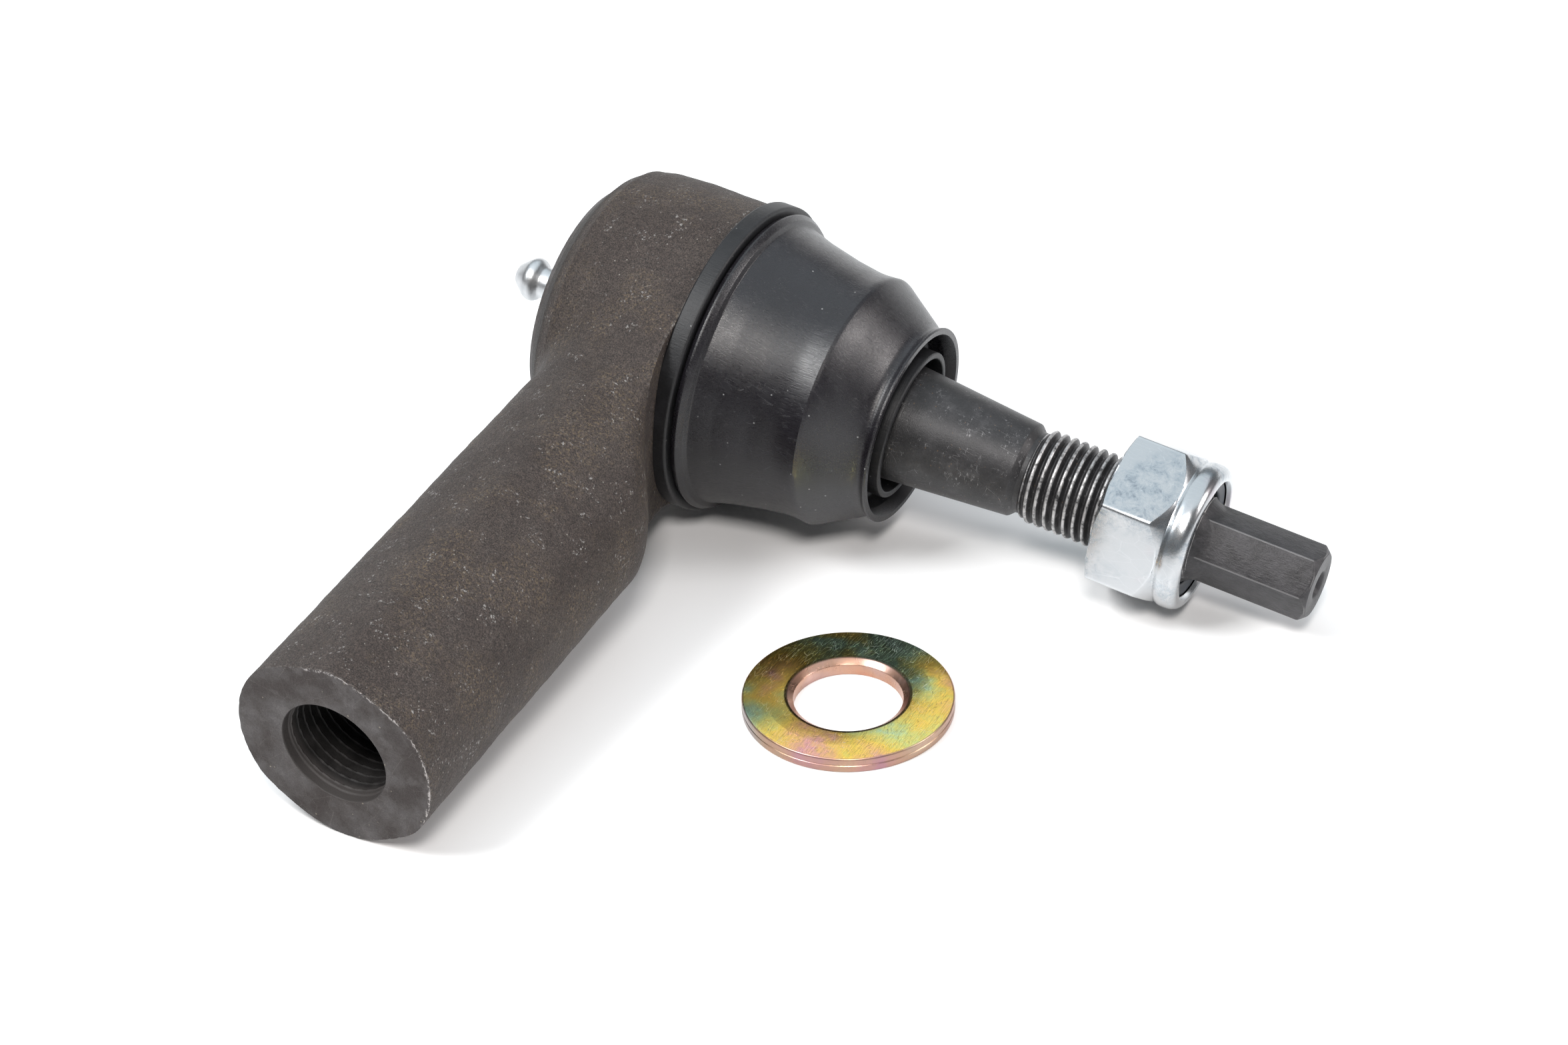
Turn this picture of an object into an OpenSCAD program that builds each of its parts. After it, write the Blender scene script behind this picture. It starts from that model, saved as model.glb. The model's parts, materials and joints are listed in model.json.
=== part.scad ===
// Tie rod end: a forged ball joint housing with a threaded shank, its tapered ball stud,
// dust boot, grease fitting, lock nut and a loose flat washer.
//
// The joint is drawn in its own frame first. The head and the stud lie along +X, the shank
// runs along -Y, and the ball's centre is the origin. lying() then sets that frame down the
// way the part rests on a table: on the shank's end, on the boot's base flange and on a
// corner of the nut. In the finished frame +Z is up and the table is z = 0.

/* [Housing] */
// Radius of the forged head
head_r = 22.5; // [22:0.1:24]
// Distance from the ball's centre to the back of the head
head_back = 19.1; // [18.6:0.1:20]
// Distance from the ball's centre to the face that the boot sits against
head_front = 4.4; // [4:0.1:5]
// Radius of the shank where it leaves the head
shank_r_root = 14.6; // [14:0.1:15]
// Radius of the shank at its end face
shank_r_end = 15.1; // [14.5:0.1:16]
// Distance from the ball's centre to the shank's end face
shank_length = 99; // [90:0.5:120]
// Minor radius of the M16 x 1.5 thread in the shank
thread_bore_r = 7.19; // [6.9:0.01:7.5]
// Full-width depth of the threaded hole
thread_bore_depth = 52; // [40:1:56]
// Radius of the chamfer at the threaded hole's mouth
bore_mouth_r = 8.2; // [8:0.1:8.8]

/* [Ball stud] */
// Radius of the ball
ball_r = 12; // [11.8:0.05:12]
// Radius of the neck behind the ball
neck_r = 7; // [6.5:0.1:7.2]
// Nominal radius of the M14 x 1.5 thread
thread_r = 7; // [6.9:0.05:7]
// Distance from the ball's centre to the small end of the taper
taper_end = 52.1; // [51:0.1:54]
// Radius of the taper at its small end
taper_end_r = 7.06; // [7:0.01:7.2]
// Length over which the taper's radius grows by one millimetre (a 1:6 taper)
taper_rate = 12; // [12:0.5:16]
// Distance from the ball's centre to the end of the stud
stud_end = 97.9; // [96:0.1:102]
// Width across the flats of the hexagon on the stud's end
tip_hex = 10; // [9:0.5:10]

/* [Lock nut] */
// Width across the flats
nut_hex = 22; // [21:0.5:22]
// Distance from the ball's centre to the nut's flat face
nut_face = 66.6; // [60:0.1:70]
// Height of the hexagon
nut_hex_height = 9.6; // [7:0.1:10]
// Overall height of the nut with its collar
nut_height = 13.9; // [12:0.1:14.1]

/* [Dust boot] */
// Radius of the base flange
flange_r = 23.5; // [23:0.1:24.5]
// Radius of the fold where the skirt turns into the cone
crease_r = 18.95; // [18.5:0.05:19.5]
// Distance from the ball's centre to that fold
crease_x = 25.6; // [24:0.1:27]
// Distance from the ball's centre to the boot's small end
boot_end = 34.1; // [33:0.1:36]

/* [Washer] */
// Outside diameter
washer_d = 29.9; // [28:0.1:31]
// Hole diameter
washer_hole = 15.4; // [14.6:0.1:16]
// Thickness
washer_t = 2.4; // [2:0.1:3]

/* [Resting pose] */
// How far the head's axis points below level, in degrees
head_droop = 5.7; // [5:0.1:6.5]
// How far the shank's axis points below level, in degrees
shank_droop = 5.26; // [4.5:0.01:6]
// Tilt of the stud in the socket, downward, in degrees
stud_pitch = 3.67; // [0:0.01:4]
// Tilt of the stud in the socket, sideways, in degrees
stud_yaw = 3.08; // [0:0.01:4]

/* [Hidden] */

$fn = 96;
// Radial gap of a running fit, and the gap between parts that only pass each other
fit_gap = 0.05;
pass_gap = 0.3;
// A cutting tool starts this far outside the face that it cuts
over = 1;

// Height of the ball's centre above the table: the base flange's front edge touches it
flange_x = 7.2;
flange_edge = 0.4;
ball_height = (flange_x - flange_edge) * sin(head_droop) + flange_r * cos(head_droop);
// Place of the ball's centre over the origin, which is the middle of the whole part's box
ball_place = [-32.96, 38.23];

// Socket: bore for the seats, recess for the cover plate, and the lip rolled over it
socket_r = 15;
recess_r = 16.4;
recess_back = -18;
recess_front = -16;
lip_r = 14.4;
shoulder_x = 6.2;
mouth_r = 11;
// Spigot that carries the boot's base ring
spigot_r = 18;
spigot_end = 10.6;
// Ramp that joins the front of the shank to the boot's face
ramp_start = 27;
ramp_slope = 1.2;

// Bearing seats
seat_sphere_r = ball_r + fit_gap;
seat_edge_x = 5.4;
seat_edge_r = 10.8;
seat_split = 0.2;
pressure_seat_back = -13.2;

// Stud stations along its axis
seal_r = 8.7;
seal_start = 27.6;
taper_start = taper_end - (seal_r - taper_end_r) * taper_rate;
thread_start = 53.6;
thread_end = 80;
tip_hex_start = 82.4;
hex_corner = 1 / cos(30);

// Stations of the boot's neck
neck_floor = 28.7;
neck_floor_top = 30.3;
neck_ring_r = 11.25;
neck_ring_wall = 0.95;

// Nut collar and the pocket that holds the nylon ring
nut_corner_r = 12.4;
collar_r = 11;
pocket_r = 9.6;
pocket_start = nut_face + nut_hex_height;
pocket_end = nut_face + nut_height - 0.7;

// Grease fitting stations along the head's axis
fitting_seat = -21;
fitting_tip = -31.4;
fitting_stem_r = 3.2;
check_ball_r = 1;
check_ball_x = -30.15;
check_bore_r = 1.15;

// Centre of the washer on the table, measured from the point below the ball's centre
washer_place = [45.65, -40.12];

// Sets the joint's own frame down in its resting pose
module lying() {
    translate([ball_place[0], ball_place[1], ball_height])
        rotate([0, head_droop, 0])
            rotate([shank_droop, 0, 0])
                children();
}

// The stud's frame: it leans in the socket, about the ball's centre
module leaning() {
    lying()
        rotate([0, stud_pitch, 0])
            rotate([0, 0, stud_yaw])
                children();
}

// A body turned about X, from an outline of [radius, x] points
module turned(outline) {
    rotate([0, 90, 0])
        rotate_extrude()
            polygon(outline);
}

// A hexagonal bar along X, from one x to another
module hex_bar(across, from, to, phase) {
    translate([from, 0, 0])
        rotate([0, 90, 0])
            rotate([0, 0, phase])
                cylinder(r = across / 2 * hex_corner, h = to - from, $fn = 6);
}

// A round bar along -Y, from one distance to another, with a radius at each end
module shank_bar(from, to, r_from, r_to) {
    translate([0, -from, 0])
        rotate([90, 0, 0])
            cylinder(h = to - from, r1 = r_from, r2 = r_to);
}

// Outside of the forged head, with the turned edge at its back
module head_blank() {
    turned([
        [0, -head_back],
        [head_r - 5.1, -head_back],
        [head_r - 4.3, -head_back + 0.9],
        [head_r - 2.2, -head_back + 2.4],
        [head_r - 0.9, -head_back + 4.2],
        [head_r - 0.3, -head_back + 7],
        [head_r, -head_back + 12],
        [head_r, head_front],
        [spigot_r, head_front],
        [spigot_r, spigot_end - 0.8],
        [spigot_r - 0.8, spigot_end],
        [0, spigot_end]
    ]);
}

// Shank with the ramp that clears the boot's base
module shank_blank() {
    ramp_x = shank_r_end + over;
    ramp_end = ramp_start + ramp_slope * (ramp_x - head_front);
    difference() {
        shank_bar(0, shank_length, shank_r_root, shank_r_end);
        translate([0, 0, -head_r])
            linear_extrude(height = 2 * head_r)
                polygon([
                    [head_front, over],
                    [head_front, -ramp_start],
                    [ramp_x, -ramp_end],
                    [ramp_x, over]
                ]);
    }
}

// Stepped hole through the head for the seats, the cover plate and the stud
module socket_hole() {
    turned([
        [0, -head_back - over],
        [lip_r, -head_back - over],
        [lip_r, recess_back],
        [recess_r, recess_back],
        [recess_r, recess_front],
        [socket_r, recess_front],
        [socket_r, shoulder_x],
        [mouth_r, shoulder_x],
        [mouth_r + 1.9, spigot_end + 0.01],
        [mouth_r + 1.9, spigot_end + over],
        [0, spigot_end + over]
    ]);
}

// Blind threaded hole in the shank, with a drill point and a chamfered mouth
module threaded_hole() {
    bottom = shank_length - thread_bore_depth;
    chamfer = bore_mouth_r - thread_bore_r;
    shank_bar(bottom, shank_length + over, thread_bore_r, thread_bore_r);
    shank_bar(bottom - 4.3, bottom, 0, thread_bore_r);
    shank_bar(shank_length - chamfer, shank_length + over, thread_bore_r,
        bore_mouth_r + over);
}

module housing() {
    color("#4a4540")
        lying()
            difference() {
                union() {
                    head_blank();
                    shank_blank();
                }
                socket_hole();
                threaded_hole();
            }
}

// Stud-side half of the bearing, held by the socket's shoulder
module front_bearing_seat() {
    color("#d8d2bd")
        lying()
            difference() {
                turned([
                    [0, seat_split],
                    [socket_r, seat_split],
                    [socket_r, shoulder_x],
                    [seat_edge_r + 0.3, shoulder_x],
                    [seat_edge_r, seat_edge_x],
                    [0, seat_edge_x]
                ]);
                sphere(r = seat_sphere_r);
                turned([
                    [0, -over],
                    [seat_edge_r, -over],
                    [seat_edge_r, seat_edge_x + over],
                    [0, seat_edge_x + over]
                ]);
            }
}

// Rear half of the bearing, which the spring presses against the ball
module pressure_seat() {
    color("#cfc8b0")
        lying()
            difference() {
                turned([
                    [2.5, pressure_seat_back],
                    [socket_r - 1.2, pressure_seat_back],
                    [socket_r, pressure_seat_back + 1.2],
                    [socket_r, -seat_split],
                    [2.5, -seat_split]
                ]);
                sphere(r = seat_sphere_r);
            }
}

// Disc spring between the cover plate and the pressure seat
module preload_disc_spring() {
    color("#6f7276")
        lying()
            turned([
                [8.5, pressure_seat_back - 0.2],
                [8.5, pressure_seat_back],
                [9.7, pressure_seat_back],
                [14.5, recess_front + 1.1],
                [14.5, recess_front],
                [13.3, recess_front]
            ]);
}

// Domed plate that closes the socket, held by the rolled lip
module cover_plate() {
    color("#55504a")
        lying()
            difference() {
                turned([
                    [0, fitting_seat],
                    [6.3, fitting_seat],
                    [12.2, -18.7],
                    [13.6, recess_back],
                    [recess_r, recess_back],
                    [recess_r, recess_front],
                    [12.8, recess_front],
                    [11.4, -16.7],
                    [6, -19],
                    [0, -19]
                ]);
                turned([
                    [0, fitting_seat - over],
                    [fitting_stem_r, fitting_seat - over],
                    [fitting_stem_r, -18],
                    [0, -18]
                ]);
            }
}

// Fitting with its stem in the cover plate, hexagon, waist, round head and cone
module grease_fitting_body() {
    color("#c9ced3")
        lying()
            difference() {
                union() {
                    turned([
                        [0, fitting_tip],
                        [1.5, fitting_tip],
                        [3.15, -29.4],
                        [3.3, -28.6],
                        [3.15, -27.9],
                        [2.35, -27],
                        [2.35, -25.4],
                        [3.4, -24.4],
                        [3.4, fitting_seat],
                        [fitting_stem_r, fitting_seat],
                        [fitting_stem_r, -18],
                        [0, -18]
                    ]);
                    hex_bar(8, -23.6, fitting_seat, 12);
                }
                turned([
                    [0, fitting_tip - over],
                    [0.75, fitting_tip - over],
                    [0.75, fitting_tip + 0.6],
                    [check_bore_r, fitting_tip + 1.1],
                    [check_bore_r, -22.8],
                    [0.9, -22.8],
                    [0.9, -18 + over],
                    [0, -18 + over]
                ]);
            }
}

module grease_fitting_ball() {
    color("#e2e5e8")
        lying()
            translate([check_ball_x, 0, 0])
                sphere(r = check_ball_r, $fn = 32);
}

// Point i of ring k on a round wire wound into a helix along X
function wire_point(k, i, rings, turns, coil_r, wire_r, from, to, sides) =
    let(
        turn = 360 * turns * k / (rings - 1),
        round_wire = 360 * i / sides,
        r = coil_r + wire_r * cos(round_wire)
    )
    [from + (to - from) * k / (rings - 1) + wire_r * sin(round_wire),
        r * cos(turn), r * sin(turn)];

// A coil spring along X, as one closed wire
module coil_spring(turns, coil_r, wire_r, from, to, sides = 8, steps = 14) {
    rings = turns * steps + 1;
    points = [for (k = [0:rings - 1], i = [0:sides - 1])
        wire_point(k, i, rings, turns, coil_r, wire_r, from, to, sides)];
    walls = [for (k = [0:rings - 2], i = [0:sides - 1])
        [k * sides + i, k * sides + (i + 1) % sides,
            (k + 1) * sides + (i + 1) % sides, (k + 1) * sides + i]];
    first_cap = [[for (i = [0:sides - 1]) sides - 1 - i]];
    last_cap = [[for (i = [0:sides - 1]) (rings - 1) * sides + i]];
    polyhedron(points = points, faces = concat(walls, first_cap, last_cap), convexity = 8);
}

module grease_fitting_spring() {
    color("#9a9ea3")
        lying()
            coil_spring(7, 0.85, 0.16, -28.9, -23.1);
}

// Ball, neck, seal land, taper, thread and hexagonal tip, forged and turned in one piece
module ball_stud() {
    color("#3b3a3a")
        leaning()
            difference() {
                union() {
                    sphere(r = ball_r);
                    turned([
                        [0, 0],
                        [neck_r, 0],
                        [neck_r, 23],
                        [neck_r + 0.4, 25],
                        [seal_r - 0.4, 26.9],
                        [seal_r, seal_start],
                        [seal_r, taper_start],
                        [taper_end_r, taper_end],
                        [taper_end_r - 0.9, taper_end + 0.7],
                        [taper_end_r - 0.9, thread_start],
                        [thread_r, thread_start + 0.9],
                        [thread_r, thread_end],
                        [tip_hex / 2 + 0.3, tip_hex_start],
                        [0, tip_hex_start]
                    ]);
                    intersection() {
                        hex_bar(tip_hex, tip_hex_start - 0.5, stud_end, 14.2);
                        turned([
                            [0, thread_end],
                            [thread_r, thread_end],
                            [thread_r, stud_end - 2.2],
                            [tip_hex / 2 - 0.2, stud_end],
                            [0, stud_end]
                        ]);
                    }
                }
                turned([
                    [0, stud_end - 5],
                    [1, stud_end - 4.4],
                    [1, stud_end - 2.2],
                    [2.1, stud_end],
                    [2.1, stud_end + over],
                    [0, stud_end + over]
                ]);
            }
}

// Ring pressed over the spigot, with the flange that the part rests on
module boot_base_ring() {
    color("#232323")
        lying()
            turned([
                [spigot_r, head_front],
                [flange_r - flange_edge, head_front],
                [flange_r, head_front + flange_edge],
                [flange_r, flange_x - flange_edge],
                [flange_r - flange_edge, flange_x],
                [spigot_r + 1.2, flange_x],
                [spigot_r + 1.2, 9.4],
                [spigot_r, 9.4]
            ]);
}

// Skirt of the boot, which stands straight on the housing
module boot_skirt() {
    foot = flange_x + pass_gap;
    inside_r = spigot_r + 1.2 + pass_gap;
    turned([
        [inside_r, foot],
        [22.3, foot],
        [22.7, 8.4],
        [22.2, 9.2],
        [21.5, 9.6],
        [20.4, 12.9],
        [19.4, 18],
        [crease_r, 23],
        [crease_r, crease_x],
        [crease_r - 4, crease_x],
        [16.6, 20],
        [17.4, 13],
        [inside_r, 10.4]
    ]);
}

// Cone and neck of the boot, which follow the stud
module boot_cone() {
    hole_r = neck_ring_r + pass_gap;
    turned([
        [crease_r - 4.4, crease_x - 1],
        [crease_r, crease_x - 0.6],
        [crease_r, crease_x],
        [14.4, boot_end - 1.5],
        [14.9, boot_end - 0.6],
        [14.9, boot_end],
        [14, boot_end],
        [13, neck_floor_top],
        [hole_r, neck_floor_top],
        [hole_r, neck_floor],
        [12.6, neck_floor]
    ]);
}

module dust_boot() {
    color("#1b1c1f") {
        lying() boot_skirt();
        leaning() boot_cone();
    }
}

// Support ring in the boot's neck, which the stud turns in
module boot_neck_ring() {
    color("#2b2c2e")
        leaning()
            turned([
                [seal_r + fit_gap, neck_floor],
                [neck_ring_r, neck_floor],
                [neck_ring_r, boot_end],
                [neck_ring_r - neck_ring_wall, boot_end],
                [neck_ring_r - neck_ring_wall, neck_floor_top],
                [seal_r + fit_gap, neck_floor_top]
            ]);
}

// Hexagon nut with a collar that holds the nylon ring
module lock_nut() {
    hex_end = nut_face + nut_hex_height;
    top = nut_face + nut_height;
    color("#bfc6cf")
        leaning()
            difference() {
                union() {
                    intersection() {
                        hex_bar(nut_hex, nut_face, hex_end + 0.8, 48.6);
                        turned([
                            [0, nut_face],
                            [nut_corner_r - 1.5, nut_face],
                            [nut_corner_r, nut_face + 0.8],
                            [nut_corner_r, hex_end - 0.9],
                            [collar_r, hex_end + 0.8],
                            [0, hex_end + 0.8]
                        ]);
                    }
                    turned([
                        [0, nut_face + 2],
                        [collar_r - 0.4, nut_face + 2],
                        [collar_r - 0.4, hex_end],
                        [collar_r, hex_end + 0.8],
                        [collar_r, top - 1.3],
                        [collar_r - 0.4, top - 0.4],
                        [collar_r - 1.2, top],
                        [0, top]
                    ]);
                }
                turned([
                    [0, nut_face - over],
                    [thread_r + 0.9 + over, nut_face - over],
                    [thread_r + fit_gap, nut_face + 0.85],
                    [thread_r + fit_gap, pocket_start],
                    [pocket_r, pocket_start],
                    [pocket_r, pocket_end],
                    [8.6, pocket_end],
                    [8.9, top + over],
                    [0, top + over]
                ]);
            }
}

module nylon_insert() {
    color("#3a3f47")
        leaning()
            turned([
                [thread_r + fit_gap, pocket_start + fit_gap],
                [pocket_r - fit_gap, pocket_start + fit_gap],
                [pocket_r - fit_gap, pocket_end - fit_gap],
                [thread_r + fit_gap, pocket_end - fit_gap]
            ]);
}

module flat_washer() {
    bevel = 0.9;
    edge = 0.2;
    hole_r = washer_hole / 2;
    rim_r = washer_d / 2;
    color("#b8a566")
        translate([ball_place[0] + washer_place[0], ball_place[1] + washer_place[1], 0])
            rotate_extrude()
                polygon([
                    [hole_r, 0],
                    [rim_r - edge, 0],
                    [rim_r, edge],
                    [rim_r, washer_t - edge],
                    [rim_r - edge, washer_t],
                    [hole_r + bevel, washer_t],
                    [hole_r, washer_t - bevel]
                ]);
}

housing();
front_bearing_seat();
pressure_seat();
preload_disc_spring();
cover_plate();
grease_fitting_body();
grease_fitting_ball();
grease_fitting_spring();
ball_stud();
boot_base_ring();
dust_boot();
boot_neck_ring();
lock_nut();
nylon_insert();
flat_washer();
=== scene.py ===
# Tie rod end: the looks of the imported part. Lengths are in millimetres unless a name says
# otherwise.
import json
import math

import bpy
import numpy as np
from mathutils import Matrix, Vector, noise


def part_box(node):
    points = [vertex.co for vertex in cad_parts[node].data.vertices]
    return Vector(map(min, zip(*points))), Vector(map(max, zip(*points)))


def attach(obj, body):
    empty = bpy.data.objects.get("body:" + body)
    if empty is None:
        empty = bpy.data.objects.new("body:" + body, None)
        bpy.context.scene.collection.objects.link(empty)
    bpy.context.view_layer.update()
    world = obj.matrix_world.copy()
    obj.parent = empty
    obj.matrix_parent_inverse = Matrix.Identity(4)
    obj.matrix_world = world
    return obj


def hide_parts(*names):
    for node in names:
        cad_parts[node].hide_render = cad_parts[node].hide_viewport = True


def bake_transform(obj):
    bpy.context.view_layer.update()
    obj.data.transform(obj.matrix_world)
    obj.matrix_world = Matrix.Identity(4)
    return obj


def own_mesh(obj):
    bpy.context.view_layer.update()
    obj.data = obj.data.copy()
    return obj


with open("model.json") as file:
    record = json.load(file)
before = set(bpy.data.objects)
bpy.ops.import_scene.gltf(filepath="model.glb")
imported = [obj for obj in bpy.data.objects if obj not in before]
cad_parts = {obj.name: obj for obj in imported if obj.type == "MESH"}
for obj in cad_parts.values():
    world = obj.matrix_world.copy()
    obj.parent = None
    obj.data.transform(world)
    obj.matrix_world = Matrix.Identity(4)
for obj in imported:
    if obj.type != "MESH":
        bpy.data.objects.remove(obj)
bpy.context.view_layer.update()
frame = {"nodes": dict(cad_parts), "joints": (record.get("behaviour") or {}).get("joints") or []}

MM = 0.001
# Points are merged on a grid of this size. Its offset keeps round sizes off its boundaries
WELD_GRID = 0.0013
WELD_OFFSET = 0.137
# Bend of the surface, per millimetre, at which wear starts, and how much more makes it full
WEAR_START = 0.25
WEAR_SPAN = 1.2

# ---- Sizes, as in the part's own source -------------------------------------------------

HEAD_R = 22.5
HEAD_BACK = 19.1
HEAD_FRONT = 4.4
SPIGOT_R = 18.0
SPIGOT_END = 10.6
SHANK_LENGTH = 99.0
SHANK_R_ROOT = 14.6
SHANK_R_END = 15.1
RAMP_START = 27.0
RAMP_SLOPE = 1.2
THREAD_DEPTH = 52.0
THREAD_PITCH = 1.5
BORE_MINOR_R = 7.19
BORE_MAJOR_R = 8.05
BORE_MOUTH_R = 8.3
FLANGE_R = 23.5
FLANGE_X = 7.2
CREASE_R = 18.95
CREASE_X = 25.6
BOOT_END = 34.1
NECK_FLOOR = 28.7
# The boot is made as two pieces, which meet here
BOOT_SPLIT = 17.0
BALL_R = 12.0
NECK_R = 7.0
SEAL_R = 8.7
TAPER_END = 52.1
TAPER_END_R = 7.06
STUD_THREAD_R = 7.0
STUD_THREAD_ROOT_R = 6.12
THREAD_START = 53.6
THREAD_END = 80.0
TIP_FLATS = 10.0
TIP_PHASE = 14.2
STUD_END = 97.9
NUT_FACE = 66.6
NUT_FLATS = 21.7
NUT_PHASE = 48.6
FITTING_SEAT = -21.0
FITTING_PHASE = 12.0

# ---- Frames of the pieces ----------------------------------------------------------------

JOINTS = {joint["name"]: joint for joint in frame["joints"]}


def unit(vector):
    vector = np.array(vector, float)
    return vector / np.linalg.norm(vector)


BALL = np.array(JOINTS["stud_pitch"]["pos_m"], float)
HEAD_AXIS = unit(JOINTS["check_ball_push"]["axis"])
PITCH_AXIS = unit(JOINTS["stud_pitch"]["axis"])
STUD_AXIS = unit(JOINTS["stud_spin"]["axis"])
YAW_AXIS = unit(JOINTS["stud_yaw"]["axis"])
# Rows are a frame's own X, Y and Z axes
HEAD = np.array([HEAD_AXIS, PITCH_AXIS, np.cross(HEAD_AXIS, PITCH_AXIS)])
STUD = np.array([STUD_AXIS, np.cross(YAW_AXIS, STUD_AXIS), YAW_AXIS])
UPRIGHT = np.array([[0, 0, 1], [1, 0, 0], [0, 1, 0]], float)


def placed(points, axes, origin=BALL):
    """Row-frame metres of points given in millimetres along a frame's axes."""
    return origin + (np.asarray(points, float) * MM) @ axes


def between_frames(share):
    """Axes part of the way from the head's frame to the stud's."""
    start = Matrix(HEAD.T.tolist()).to_quaternion()
    end = Matrix(STUD.T.tolist()).to_quaternion()
    return np.array(start.slerp(end, share).to_matrix()).T


# ---- Mesh helpers ------------------------------------------------------------------------


def smoothstep(low, high, value):
    share = np.clip((value - low) / (high - low), 0, 1)
    return share * share * (3 - 2 * share)


def rounded(corners):
    """An outline of [r, x] points from corners of (r, x, fillet radius)."""
    points = []
    count = len(corners)
    for i, (r, x, fillet) in enumerate(corners):
        corner = np.array([r, x], float)
        before = np.array(corners[i - 1][:2], float) - corner
        after = np.array(corners[(i + 1) % count][:2], float) - corner
        back, ahead = np.linalg.norm(before), np.linalg.norm(after)
        if fillet <= 0 or back < 1e-9 or ahead < 1e-9:
            points.append(corner)
            continue
        u, v = before / back, after / ahead
        half = math.acos(np.clip(u @ v, -1, 1)) / 2
        if half > math.pi / 2 - 0.01:
            points.append(corner)
            continue
        reach = min(fillet / math.tan(half), 0.49 * back, 0.49 * ahead)
        radius = reach * math.tan(half)
        middle = corner + unit(u + v) * radius / math.sin(half)
        first, last = corner + u * reach - middle, corner + v * reach - middle
        turn = math.atan2(first[0] * last[1] - first[1] * last[0], first @ last)
        steps = max(3, math.ceil(abs(turn) / math.radians(12)))
        for k in range(steps + 1):
            angle = turn * k / steps
            c, s = math.cos(angle), math.sin(angle)
            points.append(middle + [first[0] * c - first[1] * s, first[0] * s + first[1] * c])
    return np.array(points)


def dense(outline, longest):
    """The same closed outline with no edge longer than that."""
    points = []
    for a, b in zip(outline, np.roll(outline, -1, axis=0)):
        steps = max(1, math.ceil(np.linalg.norm(b - a) / longest))
        points += [a + (b - a) * k / steps for k in range(steps)]
    return np.array(points)


def turned_points(columns, angles):
    """Points about X. columns is [angle, point along the outline, (r, x)]."""
    r, x = columns[:, :, 0], columns[:, :, 1]
    a = angles[:, None]
    return np.stack([x, r * np.sin(a), -r * np.cos(a)], axis=-1).reshape(-1, 3)


def grid_faces(across, along, closed):
    """Quads of a grid that wraps round across, and along as well if closed."""
    i, k = np.meshgrid(np.arange(across), np.arange(along if closed else along - 1), indexing="ij")
    i, k = i.ravel(), k.ravel()
    j, m = (i + 1) % across, (k + 1) % along
    return np.stack([i * along + k, j * along + k, j * along + m, i * along + m], axis=1)


def turned(outline, sides):
    """Points and quads of a closed outline of [r, x] turned about X."""
    angles = np.arange(sides) * 2 * math.pi / sides
    columns = np.repeat(np.asarray(outline, float)[None], sides, axis=0)
    return turned_points(columns, angles), grid_faces(sides, len(outline), True)


def weld(points, faces):
    """Merges points that coincide, and drops the faces and corners that this closes up."""
    if isinstance(faces, np.ndarray):
        faces = faces.tolist()
    keys = np.round(points / WELD_GRID + WELD_OFFSET).astype(np.int64)
    unused, first, inverse = np.unique(keys, axis=0, return_index=True, return_inverse=True)
    inverse = inverse.ravel()
    kept = []
    for face in faces:
        # a dictionary keeps each corner once, in its order round the face
        ring = list(dict.fromkeys(int(inverse[corner]) for corner in face))
        if len(ring) > 2:
            kept.append(ring)
    return points[first], kept, first


def joined(*parts):
    """One (points, faces) from several."""
    points, faces, count = [], [], 0
    for some_points, some_faces in parts:
        points.append(some_points)
        faces += [[corner + count for corner in face] for face in np.asarray(some_faces).tolist()]
        count += len(some_points)
    return np.concatenate(points), faces


def read(items, key, width=1, kind=float):
    """An array of one property of a mesh's items, with that many numbers to an item."""
    values = np.empty(len(items) * width, kind)
    items.foreach_get(key, values)
    return values.reshape(-1, width) if width > 1 else values


def edge_angles(mesh):
    """Each edge's angle between its two faces, negative where it is hollow."""
    loop_edge = read(mesh.loops, "edge_index", kind=int)
    totals = read(mesh.polygons, "loop_total", kind=int)
    normals = read(mesh.polygons, "normal", 3)
    centres = read(mesh.polygons, "center", 3)
    face_of_loop = np.repeat(np.arange(len(totals)), totals)
    order = np.argsort(loop_edge, kind="stable")
    counts = np.bincount(loop_edge, minlength=len(mesh.edges))
    starts = np.concatenate([[0], np.cumsum(counts)[:-1]])
    paired = counts == 2
    a = face_of_loop[order[starts[paired]]]
    b = face_of_loop[order[starts[paired] + 1]]
    angle = np.full(len(mesh.edges), math.pi)
    between = np.arccos(np.clip((normals[a] * normals[b]).sum(1), -1, 1))
    hollow = ((centres[b] - centres[a]) * normals[a]).sum(1) > 0
    angle[paired] = np.where(hollow, -between, between)
    return angle


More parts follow.
